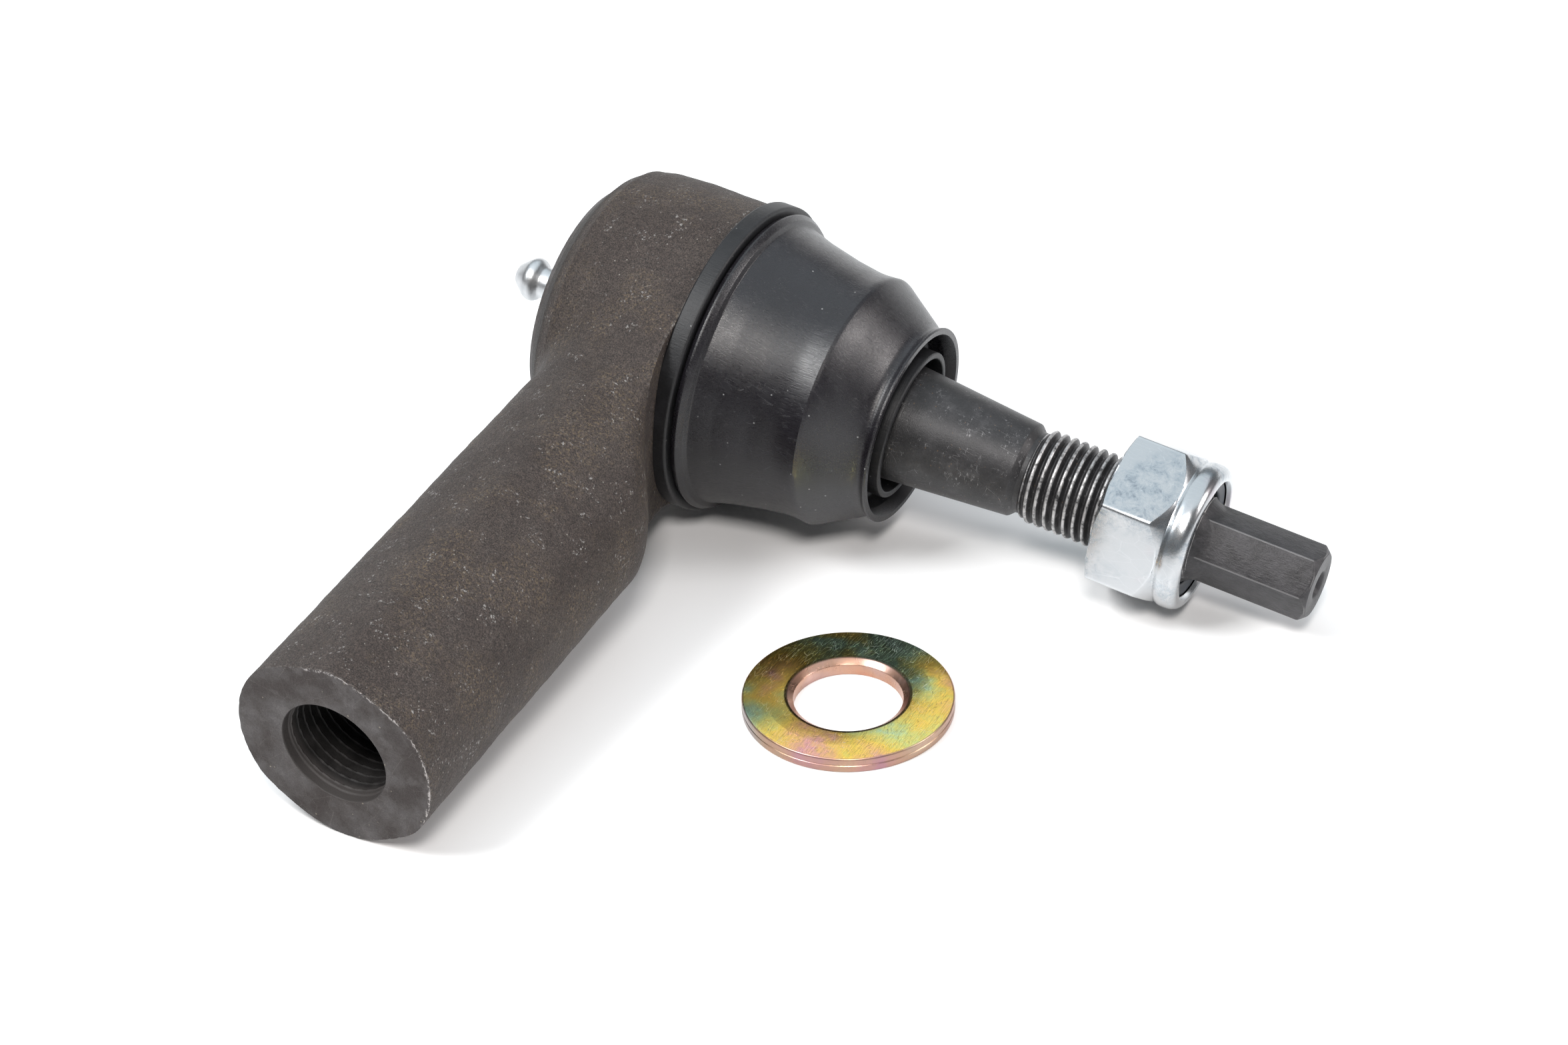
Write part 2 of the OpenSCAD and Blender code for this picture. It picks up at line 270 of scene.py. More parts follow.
def finish_mesh(mesh, local_points, sharp_degrees):
    """Smooth shading with sharp edges, and the two attributes that the materials read:
    local_mm, the place in the piece's own frame, and wear, from 0 to 1 on convex edges."""
    angle = edge_angles(mesh)
    mesh.polygons.foreach_set("use_smooth", np.ones(len(mesh.polygons), bool))
    sharp = mesh.attributes.new("sharp_edge", "BOOLEAN", "EDGE")
    sharp.data.foreach_set("value", np.abs(angle) > math.radians(sharp_degrees))
    ends = read(mesh.edges, "vertices", 2, int)
    length = np.linalg.norm(local_points[ends[:, 0]] - local_points[ends[:, 1]], axis=1)
    bend = np.where(np.abs(angle) < 3, angle, 0) * length
    area = read(mesh.polygons, "area")
    corners = read(mesh.loops, "vertex_index", kind=int)
    totals = read(mesh.polygons, "loop_total", kind=int)
    count = len(mesh.vertices)
    around = np.bincount(corners, np.repeat(area, totals) / MM / MM, count) + 1e-9
    curve = np.bincount(ends.ravel(), np.repeat(bend, 2), count) / around
    wear = mesh.attributes.new("wear", "FLOAT", "POINT")
    share = np.clip((curve - WEAR_START) / WEAR_SPAN, 0, 1)
    wear.data.foreach_set("value", share.astype(np.float32))
    local = mesh.attributes.new("local_mm", "FLOAT_VECTOR", "POINT")
    local.data.foreach_set("vector", local_points.astype(np.float32).ravel())


def piece(name, shape, axes, materials, replaced=(), body=None, origin=BALL, sharp=33,
          world=None, choose=None):
    """Makes an object from (points, faces) in millimetres in its own frame.
    world gives its places in the row frame where they don't follow from axes and origin.
    choose gives each face's material number from the faces' middles in its own frame."""
    points, faces, first = weld(*shape)
    places = placed(points, axes, origin) if world is None else world[first]
    mesh = bpy.data.meshes.new(name)
    mesh.from_pydata(places.tolist(), [], faces)
    made = bpy.data.objects.new(name, mesh)
    bpy.context.scene.collection.objects.link(made)
    turn_outward(mesh)
    finish_mesh(mesh, points, sharp)
    for material in materials:
        mesh.materials.append(material)
    if choose is not None:
        middles = np.array([points[list(polygon.vertices)].mean(0) for polygon in mesh.polygons])
        mesh.polygons.foreach_set("material_index", choose(middles).astype(np.int32))
    if replaced:
        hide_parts(*replaced)
    if body:
        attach(made, body)
    return made


def turn_outward(mesh):
    """Flips the mesh if it encloses a negative volume."""
    mesh.calc_loop_triangles()
    places = read(mesh.vertices, "co", 3)
    triangles = places[read(mesh.loop_triangles, "vertices", 3, int)] - places.mean(0)
    volume = np.einsum("ij,ij->", triangles[:, 0], np.cross(triangles[:, 1], triangles[:, 2]))
    if volume < 0:
        mesh.flip_normals()


# ---- Hexagons and threads ----------------------------------------------------------------


def hex_angles(phase, steps=14, rounding=1.6):
    """Angles round a hexagon with its corners at phase, with close steps across each corner."""
    close = [-1.0, -0.5, 0.0, 0.5, 1.0]
    wide = np.linspace(rounding, 60 - rounding, steps + 2)[1:-1]
    sector = [rounding * c for c in close] + list(wide)
    angles = [phase + 60 * k + s for k in range(6) for s in sector]
    return np.radians(np.array(angles))


def hex_radius(angles, phase, flats, corner_fillet):
    """Distance from the axis to a hexagon with rounded corners."""
    apothem = flats / 2
    off_corner = np.abs((np.degrees(angles) - phase + 30) % 60 - 30)
    centre = (apothem - corner_fillet) / math.cos(math.radians(30))
    tangent = 30 - math.degrees(math.atan(centre / 2 / apothem))
    beta = np.radians(off_corner)
    inside = np.maximum(corner_fillet ** 2 - (centre * np.sin(beta)) ** 2, 0)
    arc = centre * np.cos(beta) + np.sqrt(inside)
    flat = apothem / np.cos(np.radians(30) - beta)
    return np.where(off_corner < tangent, arc, flat)


def thread_profile(x, angles, root_r, crest_r):
    """Radius of a right-hand thread with 60 degree flanks and softened crests and roots."""
    phase = (x / THREAD_PITCH - angles / (2 * math.pi)) % 1.0
    from_root = np.abs(phase - 0.5) * THREAD_PITCH
    slope = math.tan(math.radians(60))
    climb = (from_root - 0.11) * slope
    height = crest_r - root_r
    share = np.clip(climb / height, -0.2, 1.2)
    return root_r + height * smoothstep(-0.12, 1.12, share) ** 0.85


def threaded(angles, start, end, radius, rows_per_turn=14):
    """Columns of a threaded stretch whose rows run along the helix. radius(x, angle) is its
    surface. Rows past either end close up on it, and weld() removes them."""
    step = THREAD_PITCH / rows_per_turn
    count = math.ceil((end - start + 2 * THREAD_PITCH) / step) + 1
    rows = start - 2 * THREAD_PITCH + step * np.arange(count + rows_per_turn)
    lead = THREAD_PITCH * (angles - angles[0]) / (2 * math.pi)
    x = np.clip(rows[None, :] + lead[:, None], start, end)
    r = radius(x, angles[:, None])
    return np.stack([r, x], axis=-1), rows_per_turn


def threaded_faces(across, along, shift):
    """Quads of a helical grid: its last column meets its first one shift rows further on."""
    faces = []
    for i in range(across):
        j = (i + 1) % across
        jump = shift if j == 0 else 0
        k = np.arange(along - 1 - jump)
        a, b = i * along + k, j * along + k + jump
        faces.append(np.stack([a, b, b + 1, a + 1], axis=1))
    return np.concatenate(faces)


# ---- Dual contouring of the forging ---------------------------------------------------------


def field_normals(field, points):
    """Unit gradient of the field, from four samples about each point."""
    corners = np.array([[1, -1, -1], [-1, -1, 1], [-1, 1, -1], [1, 1, 1]], float)
    reach = 0.02
    slope = sum(c * field(points + reach * c)[:, None] for c in corners)
    return slope / (np.linalg.norm(slope, axis=1)[:, None] + 1e-12)


def contour(field, low, high, step):
    """Points and quads of the surface field = 0, with crisp edges where the field has them."""
    low = np.array(low, float)
    counts = np.ceil((np.array(high) - low) / step).astype(int) + 1
    lines = [low[i] + step * np.arange(counts[i]) for i in range(3)]
    values = np.concatenate([
        field(np.stack(np.meshgrid([x], lines[1], lines[2], indexing="ij"), -1).reshape(-1, 3))
        for x in lines[0]]).reshape(counts)
    crossings, cells = [], []
    for axis in range(3):
        one = np.eye(3, dtype=int)[axis]
        count = np.array(counts) - one
        below = values[:count[0], :count[1], :count[2]]
        above = values[one[0]:, one[1]:, one[2]:]
        index = np.argwhere((below < 0) != (above < 0))
        f0, f1 = below[tuple(index.T)], above[tuple(index.T)]
        base = low + step * index
        near, far = np.zeros(len(index)), np.ones(len(index))
        near_value, far_value = f0.copy(), f1.copy()
        for unused in range(3):
            t = near + (far - near) * near_value / (near_value - far_value)
            here = field(base + step * t[:, None] * one)
            same = (here < 0) == (near_value < 0)
            near, near_value = np.where(same, t, near), np.where(same, here, near_value)
            far, far_value = np.where(same, far, t), np.where(same, far_value, here)
        t = near + (far - near) * near_value / (near_value - far_value + 1e-12)
        crossings.append(base + step * t[:, None] * one)
        side, other = np.eye(3, dtype=int)[(axis + 1) % 3], np.eye(3, dtype=int)[(axis + 2) % 3]
        ring = np.stack([index - side - other, index - other, index, index - side], axis=1)
        ring[f0 >= 0] = ring[f0 >= 0][:, ::-1]
        cells.append(ring)
    points, cells = np.concatenate(crossings), np.concatenate(cells)
    normals = field_normals(field, points)
    flat = np.ravel_multi_index(cells.reshape(-1, 3).T, counts)
    used, faces = np.unique(flat, return_inverse=True)
    faces = faces.reshape(-1, 4)
    owner = faces.ravel()
    point4, normal4 = np.repeat(points, 4, axis=0), np.repeat(normals, 4, axis=0)
    total = np.bincount(owner).astype(float)

    def gather(values):
        return np.bincount(owner, values, len(used))

    middle = np.stack([gather(point4[:, i]) / total for i in range(3)], axis=1)
    square = np.empty((len(used), 3, 3))
    for i in range(3):
        for j in range(3):
            square[:, i, j] = gather(normal4[:, i] * normal4[:, j])
    reach = (normal4 * (point4 - middle[owner])).sum(1)
    pull = np.stack([gather(normal4[:, i] * reach) for i in range(3)], axis=1)
    square += 0.03 * np.eye(3)
    moved = middle + np.linalg.solve(square, pull[:, :, None])[:, :, 0]
    corner = low + step * np.stack(np.unravel_index(used, counts), axis=1)
    return np.clip(moved, corner, corner + step), faces


def outline_distance(x, r, outline):
    """Signed distance from (r, x) to a closed outline of [r, x] points, negative inside."""
    outline = np.asarray(outline, float)
    best, side = np.full(len(x), np.inf), np.ones(len(x))
    for a, b in zip(outline, np.roll(outline, 1, axis=0)):
        edge = b - a
        wr, wx = r - a[0], x - a[1]
        t = np.clip((wr * edge[0] + wx * edge[1]) / (edge @ edge), 0, 1)
        best = np.minimum(best, (wr - edge[0] * t) ** 2 + (wx - edge[1] * t) ** 2)
        over, under = x >= a[1], x < b[1]
        left = edge[0] * wx > edge[1] * wr
        flip = (over & under & left) | (~over & ~under & ~left)
        side = np.where(flip, -side, side)
    return side * np.sqrt(best)


def fillet_join(a, b, radius):
    """Union of two distances with a hollow fillet of that radius."""
    u, v = np.maximum(radius - a, 0), np.maximum(radius - b, 0)
    return np.maximum(radius, np.minimum(a, b)) - np.hypot(u, v)


def fillet_cut(a, b, radius):
    """Intersection of two distances with a rounded edge of that radius."""
    u, v = np.maximum(radius + a, 0), np.maximum(radius + b, 0)
    return np.minimum(-radius, np.maximum(a, b)) + np.hypot(u, v)


# ---- Materials -----------------------------------------------------------------------------


class Paint:
    """One material's nodes, with a short call for each kind that the looks below need."""

    def __init__(self, name, cad=False):
        self.material = bpy.data.materials.new(name)
        self.material.use_nodes = True
        self.tree = self.material.node_tree
        self.tree.nodes.clear()
        output = self.tree.nodes.new("ShaderNodeOutputMaterial")
        self.shader = self.tree.nodes.new("ShaderNodeBsdfPrincipled")
        self.tree.links.new(self.shader.outputs[0], output.inputs[0])
        if cad:
            places = self.tree.nodes.new("ShaderNodeTexCoord").outputs["Object"]
            self.place = self.node("ShaderNodeVectorMath", {"operation": "SCALE"},
                                   Vector=places, Scale=1 / MM).outputs[0]
        else:
            self.place = self.node("ShaderNodeAttribute",
                                   {"attribute_name": "local_mm"}).outputs["Vector"]

    def node(self, kind, settings=None, **inputs):
        made = self.tree.nodes.new(kind)
        for key, value in (settings or {}).items():
            setattr(made, key, value)
        for key, value in inputs.items():
            self.feed(made, key, value)
        return made

    def feed(self, node, key, value):
        socket = node.inputs[key]
        if isinstance(value, bpy.types.NodeSocket):
            self.tree.links.new(value, socket)
        else:
            socket.default_value = value

    def set(self, **inputs):
        """Sets the shader's own sockets: underscores in names stand for spaces."""
        for key, value in inputs.items():
            self.feed(self.shader, key.replace("_", " "), value)

    def times(self, a, b):
        return self.math("MULTIPLY", a, b)

    def plus(self, a, b):
        return self.math("ADD", a, b)

    def larger(self, a, b):
        return self.math("MAXIMUM", a, b)

    def wear(self):
        return self.node("ShaderNodeAttribute", {"attribute_name": "wear"}).outputs["Fac"]

    def mapped(self, scale, offset=(0, 0, 0), turn=(0, 0, 0), place=None):
        return self.node("ShaderNodeMapping", Vector=place or self.place, Scale=scale,
                         Location=offset, Rotation=turn).outputs[0]

    def coordinate(self, axis):
        """The place's X, Y or Z, as 0, 1 or 2."""
        return self.node("ShaderNodeSeparateXYZ", Vector=self.place).outputs[axis]

    def flattened(self, across):
        """The place with only the two coordinates named."""
        kept = {name: self.coordinate("XYZ".index(name)) for name in across}
        return self.node("ShaderNodeCombineXYZ", **kept).outputs[0]

    def ringed(self, along, around):
        """Places that change quickly along the axis and slowly round it, with no seam."""
        ring = self.node("ShaderNodeVectorMath", {"operation": "NORMALIZE"},
                         Vector=self.flattened("YZ")).outputs[0]
        around_ring = self.node("ShaderNodeVectorMath", {"operation": "SCALE"}, Vector=ring,
                                Scale=around).outputs[0]
        x = self.times(self.coordinate(0), along)
        along_axis = self.node("ShaderNodeCombineXYZ", X=x).outputs[0]
        both = self.node("ShaderNodeVectorMath", {"operation": "ADD"})
        self.feed(both, 0, around_ring)
        self.feed(both, 1, along_axis)
        return both.outputs[0]

    def distance_out(self, across="YZ"):
        """Distance from the axis that is square to the two coordinates named."""
        return self.node("ShaderNodeVectorMath", {"operation": "LENGTH"},
                         Vector=self.flattened(across)).outputs["Value"]

    def noise(self, scale, detail=2.0, rough=0.5, offset=(0, 0, 0), stretch=(1, 1, 1),
              turn=(0, 0, 0), place=None, twist=0.0):
        size = tuple(scale * s for s in stretch)
        vector = self.mapped(size, offset, turn, place)
        return self.node("ShaderNodeTexNoise", Vector=vector, Scale=1.0, Detail=detail,
                         Roughness=rough, Distortion=twist).outputs[0]

    def patches(self, scale, detail, rough, offset, low, high):
        """Cloudy areas: 0 off them, 1 on them."""
        return self.step(self.noise(scale, detail, rough, offset), low, high)

    def cells(self, feature, scale, offset, turn=(0, 0, 0)):
        return self.node("ShaderNodeTexVoronoi", {"feature": feature}, Scale=1.0,
                         Vector=self.mapped(scale, offset, turn)).outputs["Distance"]

    def specks(self, density, offset, outside, inside):
        """Scattered dots: 1 on them, 0 off them, with one cell for each dot."""
        return self.step(self.cells("F1", (density, density, density), offset), outside, inside)

    def scratches(self, density, turn, offset, width=0.035, length=9.0):
        """Thin straight marks: 1 on them, 0 off them."""
        scale = (density, density * length, density)
        return self.step(self.cells("DISTANCE_TO_EDGE", scale, offset, turn), width, 0.0)

    def math(self, operation, a, b):
        made = self.node("ShaderNodeMath", {"operation": operation})
        self.feed(made, 0, a)
        self.feed(made, 1, b)
        return made.outputs[0]

    def step(self, value, low, high):
        """0 below low, 1 above high, smooth between them. low may be the greater."""
        made = self.node("ShaderNodeMapRange", {"interpolation_type": "SMOOTHSTEP"}, Value=value)
        ends = (low, high, 0.0, 1.0) if low < high else (high, low, 1.0, 0.0)
        for key, end in zip(("From Min", "From Max", "To Min", "To Max"), ends):
            made.inputs[key].default_value = end
        return made.outputs[0]

    def ramp(self, value, stops):
        made = self.node("ShaderNodeValToRGB", Fac=value)
        bar = made.color_ramp.elements
        while len(bar) > 1:
            bar.remove(bar[-1])
        bar[0].position, bar[0].color = stops[0][0], (*stops[0][1], 1)
        for place, colour in stops[1:]:
            bar.new(place).color = (*colour, 1)
        return made.outputs[0]

    def mix(self, share, a, b, blend="MIX"):
        made = self.node("ShaderNodeMix", {"data_type": "RGBA", "blend_type": blend})
        for i, value in ((0, share), (6, a), (7, b)):
            value = (*value, 1) if isinstance(value, tuple) else value
            self.feed(made, i, value)
        return made.outputs[2]

    def coat(self, colour, mask, strength, over):
        """The colour with another over it, as thick as mask times strength."""
        return self.mix(self.times(mask, strength), colour, over)

    def shade(self, colour, share, value, dark, light):
        """The colour times a grey that follows value. dark and light are (value, grey)."""
        stops = [(place, (grey, grey, grey)) for place, grey in (dark, light)]
        return self.mix(share, colour, self.ramp(value, stops), "MULTIPLY")

    def blend(self, share, a, b):
        """A number between a and b."""
        made = self.node("ShaderNodeMix", {"data_type": "FLOAT"})
        for i, value in ((0, share), (2, a), (3, b)):
            self.feed(made, i, value)
        return made.outputs[0]

    def bump(self, height, depth, normal=None):
        """depth is the height's full range in millimetres."""
        made = self.node("ShaderNodeBump", Height=height, Distance=depth * MM, Strength=1.0)
        if normal is not None:
            self.feed(made, "Normal", normal)
        return made.outputs[0]


def forged_steel():
    paint = Paint("forged_steel")
    grain = paint.noise(5.0, 4.0, 0.7)
    pebbles = paint.noise(1.5, 3.0, 0.6, (7, 3, 1))
    cloud = paint.noise(0.12, 4.0, 0.6, (2, 9, 4))
    base = paint.ramp(cloud, [(0.34, (0.0350, 0.0270, 0.0240)), (0.5, (0.0400, 0.0315, 0.0282)),
                              (0.68, (0.0455, 0.0365, 0.0325))])
    fine = paint.ramp(grain, [(0.38, (0.32, 0.32, 0.33)), (0.5, (1, 1, 1)),
                              (0.62, (2.1, 2.03, 1.95))])
    colour = paint.mix(0.9, base, fine, "MULTIPLY")
    colour = paint.shade(colour, 0.8, pebbles, (0.35, 0.8), (0.65, 1.2))
    tan_area = paint.patches(0.085, 4.0, 0.6, (11, 5, 8), 0.45, 0.6)
    tan = paint.times(tan_area, paint.patches(2.6, 3.0, 0.75, (1, 8, 2), 0.5, 0.66))
    colour = paint.coat(colour, tan, 0.75, (0.140, 0.104, 0.066))
    dust_area = paint.patches(0.22, 4.0, 0.7, (5, 1, 13), 0.46, 0.66)
    dust = paint.times(dust_area, paint.patches(3.0, 3.0, 0.75, (9, 8, 2), 0.54, 0.68))
    colour = paint.coat(colour, dust, 0.55, (0.155, 0.138, 0.125))
    scuff_area = paint.patches(0.3, 4.0, 0.75, (15, 3, 3), 0.55, 0.63)
    scuff = paint.times(scuff_area, paint.patches(2.2, 2.0, 0.6, (4, 4, 2), 0.57, 0.66))
    colour = paint.coat(colour, scuff, 0.8, (0.30, 0.29, 0.28))
    speck = paint.specks(0.8, (3, 2, 1), 0.11, 0.06)
    speck = paint.times(speck, paint.patches(0.5, 2.0, 0.5, (6, 1, 2), 0.44, 0.56))
    colour = paint.coat(colour, speck, 0.75, (0.30, 0.28, 0.25))
    hair = paint.scratches(0.2, (0.9, 0.3, 0.5), (3, 7, 1), 0.006, length=5.0)
    hair = paint.times(hair, paint.patches(0.3, 3.0, 0.6, (6, 6, 2), 0.52, 0.6))
    colour = paint.coat(colour, hair, 0.5, (0.26, 0.24, 0.21))
    pit = paint.specks(0.7, (8, 2, 5), 0.12, 0.06)
    colour = paint.coat(colour, pit, 0.5, (0.014, 0.011, 0.010))
    rubbed = paint.step(paint.times(paint.wear(), paint.step(pebbles, 0.4, 0.6)), 0.2, 0.8)
    colour = paint.coat(colour, rubbed, 0.35, (0.16, 0.15, 0.14))
    # painted shade: the rounded back edge of the head is darkened towards the back face, where it
    # turns away from the light
    back_edge_shade = paint.step(paint.coordinate(0), -15.6, -17.0)
    colour = paint.coat(colour, back_edge_shade, 0.8, (0.016, 0.0135, 0.0125))
    paint.set(Base_Color=colour, Metallic=0.0, Specular_IOR_Level=0.34,
              Roughness=paint.blend(grain, 0.7, 0.5))
    rough = paint.bump(grain, 0.14)
    paint.set(Normal=paint.bump(pebbles, 0.22, rough))
    return paint.material


def machined_steel():
    """Faced end of the shank and the turned band round the back of the head."""
    paint = Paint("machined_steel")
    smudge = paint.noise(0.2, 4.0, 0.6, (3, 6, 2))
    grain = paint.noise(4.0, 4.0, 0.7)
    base = paint.ramp(smudge, [(0.34, (0.0500, 0.0435, 0.0420)), (0.48, (0.0620, 0.0555, 0.0540)),
                               (0.58, (0.0700, 0.0640, 0.0635)), (0.68, (0.0900, 0.0840, 0.0835))])
    patch = paint.patches(0.32, 3.0, 0.6, (8, 4, 6), 0.56, 0.7)
    base = paint.coat(base, patch, 0.4, (0.1150, 0.1080, 0.1070))
    brown = paint.patches(0.17, 4.0, 0.6, (2, 9, 1), 0.44, 0.64)
    base = paint.coat(base, brown, 0.4, (0.0480, 0.0400, 0.0375))
    marks = paint.scratches(0.22, (0.2, 0.5, 0.9), (5, 2, 3), 0.007, length=6.0)
    base = paint.coat(base, marks, 0.35, (0.15, 0.14, 0.13))
    colour = paint.shade(base, 0.8, grain, (0.34, 0.72), (0.66, 1.3))
    speck = paint.specks(0.5, (3, 2, 9), 0.08, 0.05)
    colour = paint.coat(colour, speck, 0.6, (0.28, 0.25, 0.2))
    # the rim's edge is worn to bright metal; keeping the bright metal to the part of the rim that
    # faces up and forward is a painted highlight
    upper = paint.step(paint.plus(paint.coordinate(0), paint.coordinate(2)), 2.0, 14.0)
    ragged = paint.patches(1.4, 4.0, 0.8, (1, 2, 7), 0.4, 0.56)
    edge = paint.times(paint.wear(), paint.times(ragged, upper))
    edge = paint.times(edge, paint.step(paint.distance_out("XZ"), 10.0, 12.0))
    bright = paint.step(edge, 0.15, 0.6)
    colour = paint.mix(bright, colour, (0.38, 0.355, 0.345))
    paint.set(Base_Color=colour, Metallic=paint.blend(bright, 0.0, 0.9),
              Specular_IOR_Level=paint.blend(paint.step(smudge, 0.38, 0.62), 0.06, 0.18),
              Roughness=paint.blend(smudge, 0.42, 0.62))
    paint.set(Normal=paint.bump(grain, 0.02))
    return paint.material


def bore_steel():
    paint = Paint("bore_steel")
    smudge = paint.noise(0.5, 4.0, 0.6)
    grain = paint.noise(4.0, 3.0, 0.6)
    colour = paint.ramp(smudge, [(0.3, (0.011, 0.010, 0.0098)), (0.7, (0.024, 0.0225, 0.0220))])
    bright = paint.times(paint.wear(), paint.step(smudge, 0.5, 0.68))
    colour = paint.coat(colour, bright, 0.2, (0.11, 0.10, 0.10))
    mouth = paint.step(paint.coordinate(1), 3.5 - SHANK_LENGTH, 1.8 - SHANK_LENGTH)
    colour = paint.coat(colour, mouth, 0.8, (0.058, 0.052, 0.050))
    paint.set(Base_Color=colour, Metallic=0.0, Specular_IOR_Level=0.3,
              Roughness=paint.blend(grain, 0.5, 0.68))
    paint.set(Normal=paint.bump(grain, 0.03))
    return paint.material


def boot_rubber():
    paint = Paint("boot_rubber")
    cloud = paint.noise(0.16, 4.0, 0.6, (4, 1, 3))
    bloom = paint.noise(0.5, 5.0, 0.7, (9, 2, 5))
    base = paint.ramp(cloud, [(0.3, (0.0060, 0.0050, 0.0066)), (0.7, (0.0088, 0.0080, 0.0108))])
    colour = paint.coat(base, paint.step(bloom, 0.5, 0.75), 0.25, (0.016, 0.0155, 0.020))
    hairs = paint.noise(1.0, 4.0, 0.75, (3, 1, 2), stretch=(0.3, 6.0, 6.0), turn=(0, 0, 0.12))
    crossed = paint.scratches(0.24, (0.3, 0.2, 1.1), (2, 4, 1), 0.010, length=7.0)
    other = paint.scratches(0.3, (1.2, 0.5, 0.3), (7, 1, 5), 0.009, length=6.0)
    marks = paint.times(paint.larger(crossed, other), paint.step(bloom, 0.48, 0.6))
    colour = paint.coat(colour, marks, 0.3, (0.08, 0.08, 0.09))
    speck = paint.specks(0.4, (1, 5, 2), 0.06, 0.035)
    colour = paint.coat(colour, speck, 0.75, (0.26, 0.26, 0.26))
    rough = paint.blend(paint.step(bloom, 0.3, 0.75), 0.25, 0.28)
    rough = paint.plus(rough, paint.times(paint.step(hairs, 0.4, 0.7), 0.10))
    # the lower side is duller
    rough = paint.plus(rough, paint.times(paint.step(paint.coordinate(2), 3.0, -9.0), 0.16))
    paint.set(Base_Color=colour, Metallic=0.0, Specular_IOR_Level=0.58, Roughness=rough)
    fine = paint.bump(paint.noise(4.0, 3.0, 0.6), 0.006)
    fine = paint.bump(hairs, 0.03, fine)
    paint.set(Normal=paint.bump(marks, -0.01, fine))
    return paint.material


def ring_rubber():
    paint = Paint("ring_rubber")
    cloud = paint.noise(0.3, 4.0, 0.6, (4, 1, 3))
    grain = paint.noise(6.0, 3.0, 0.6)
    turning = paint.noise(1.0, 2.0, 0.5, place=paint.ringed(6.0, 2.0))
    base = paint.ramp(cloud, [(0.3, (0.0070, 0.0070, 0.0080)), (0.7, (0.0130, 0.0132, 0.0150))])
    rubbed = paint.noise(1.0, 4.0, 0.75, stretch=(0.5, 3.0, 3.0), offset=(5, 3, 1))
    base = paint.coat(base, paint.step(rubbed, 0.56, 0.72), 0.5, (0.034, 0.034, 0.036))
    speck = paint.specks(0.5, (1, 5, 2), 0.07, 0.04)
    colour = paint.coat(base, speck, 0.6, (0.25, 0.25, 0.25))
    paint.set(Base_Color=colour, Metallic=0.0, Specular_IOR_Level=0.42,
              Roughness=paint.blend(cloud, 0.4, 0.55))
    fine = paint.bump(grain, 0.015)
    fine = paint.bump(rubbed, 0.05, fine)
    paint.set(Normal=paint.bump(turning, 0.02, fine))
    return paint.material


def stud_steel():
    paint = Paint("stud_steel")
    cloud = paint.noise(0.35, 5.0, 0.65, (3, 3, 1))
    grain = paint.noise(4.5, 4.0, 0.65)
    turning = paint.noise(1.0, 3.0, 0.6, place=paint.ringed(7.0, 1.5))
    base = paint.ramp(cloud, [(0.3, (0.020, 0.0195, 0.0205)), (0.55, (0.032, 0.031, 0.0325)),
                              (0.75, (0.056, 0.0545, 0.057))])
    colour = paint.shade(base, 0.7, grain, (0.3, 0.72), (0.7, 1.3))
    pale_area = paint.patches(0.42, 4.0, 0.7, (5, 1, 13), 0.47, 0.6)
    chip = paint.noise(1.6, 3.0, 0.7, (8, 1, 3), stretch=(1.8, 0.8, 0.8))
    nick = paint.times(pale_area, paint.step(chip, 0.58, 0.68))
    line = paint.scratches(0.3, (0.4, 0.6, 0.2), (1, 4, 1), 0.012)
    nick = paint.larger(nick, paint.times(line, pale_area))
    colour = paint.coat(colour, nick, 0.7, (0.23, 0.225, 0.23))
    brown = paint.specks(0.8, (2, 1, 6), 0.12, 0.06)
    colour = paint.coat(colour, brown, 0.35, (0.18, 0.11, 0.06))
    ragged = paint.noise(1.2, 4.0, 0.7, (1, 2, 7))
    bright = paint.times(paint.step(paint.wear(), 0.1, 0.75), paint.step(ragged, 0.3, 0.62))
    on_thread = paint.step(paint.coordinate(0), THREAD_START - 0.6, THREAD_START)
    bright = paint.times(bright, on_thread)
    colour = paint.mix(bright, colour, (0.50, 0.49, 0.49))
    paint.set(Base_Color=colour, Metallic=paint.blend(bright, 0.35, 0.9),
              Specular_IOR_Level=0.5, Roughness=paint.blend(cloud, 0.36, 0.52))
    fine = paint.bump(grain, 0.03)
    paint.set(Normal=paint.bump(turning, 0.02, fine))
    return paint.material


def tip_steel():
    """Black hexagonal tip, drawn bar with brushed flats."""
    paint = Paint("tip_steel")
    cloud = paint.noise(0.4, 5.0, 0.65, (3, 3, 1))
    brushed = paint.noise(1.0, 4.0, 0.7, stretch=(0.7, 4.5, 4.5))
    base = paint.ramp(cloud, [(0.3, (0.022, 0.0215, 0.023)), (0.7, (0.047, 0.0455, 0.049))])
    colour = paint.shade(base, 0.8, brushed, (0.3, 0.7), (0.72, 1.45))
    ragged = paint.noise(1.0, 4.0, 0.75, (1, 2, 7))
    worn = paint.step(paint.wear(), 0.15, 0.8)
    bright = paint.times(worn, paint.step(ragged, 0.58, 0.74))
    bright = paint.larger(paint.times(bright, 0.6), paint.times(worn, 0.28))
    colour = paint.mix(bright, colour, (0.45, 0.44, 0.44))
    paint.set(Base_Color=colour, Metallic=paint.blend(bright, 0.35, 0.9),
              Specular_IOR_Level=0.5, Roughness=paint.blend(cloud, 0.34, 0.5))
    forged = paint.noise(0.7, 5.0, 0.68, (2, 6, 3))
    fine = paint.bump(brushed, 0.05)
    paint.set(Normal=paint.bump(forged, 0.13, fine))
    return paint.material


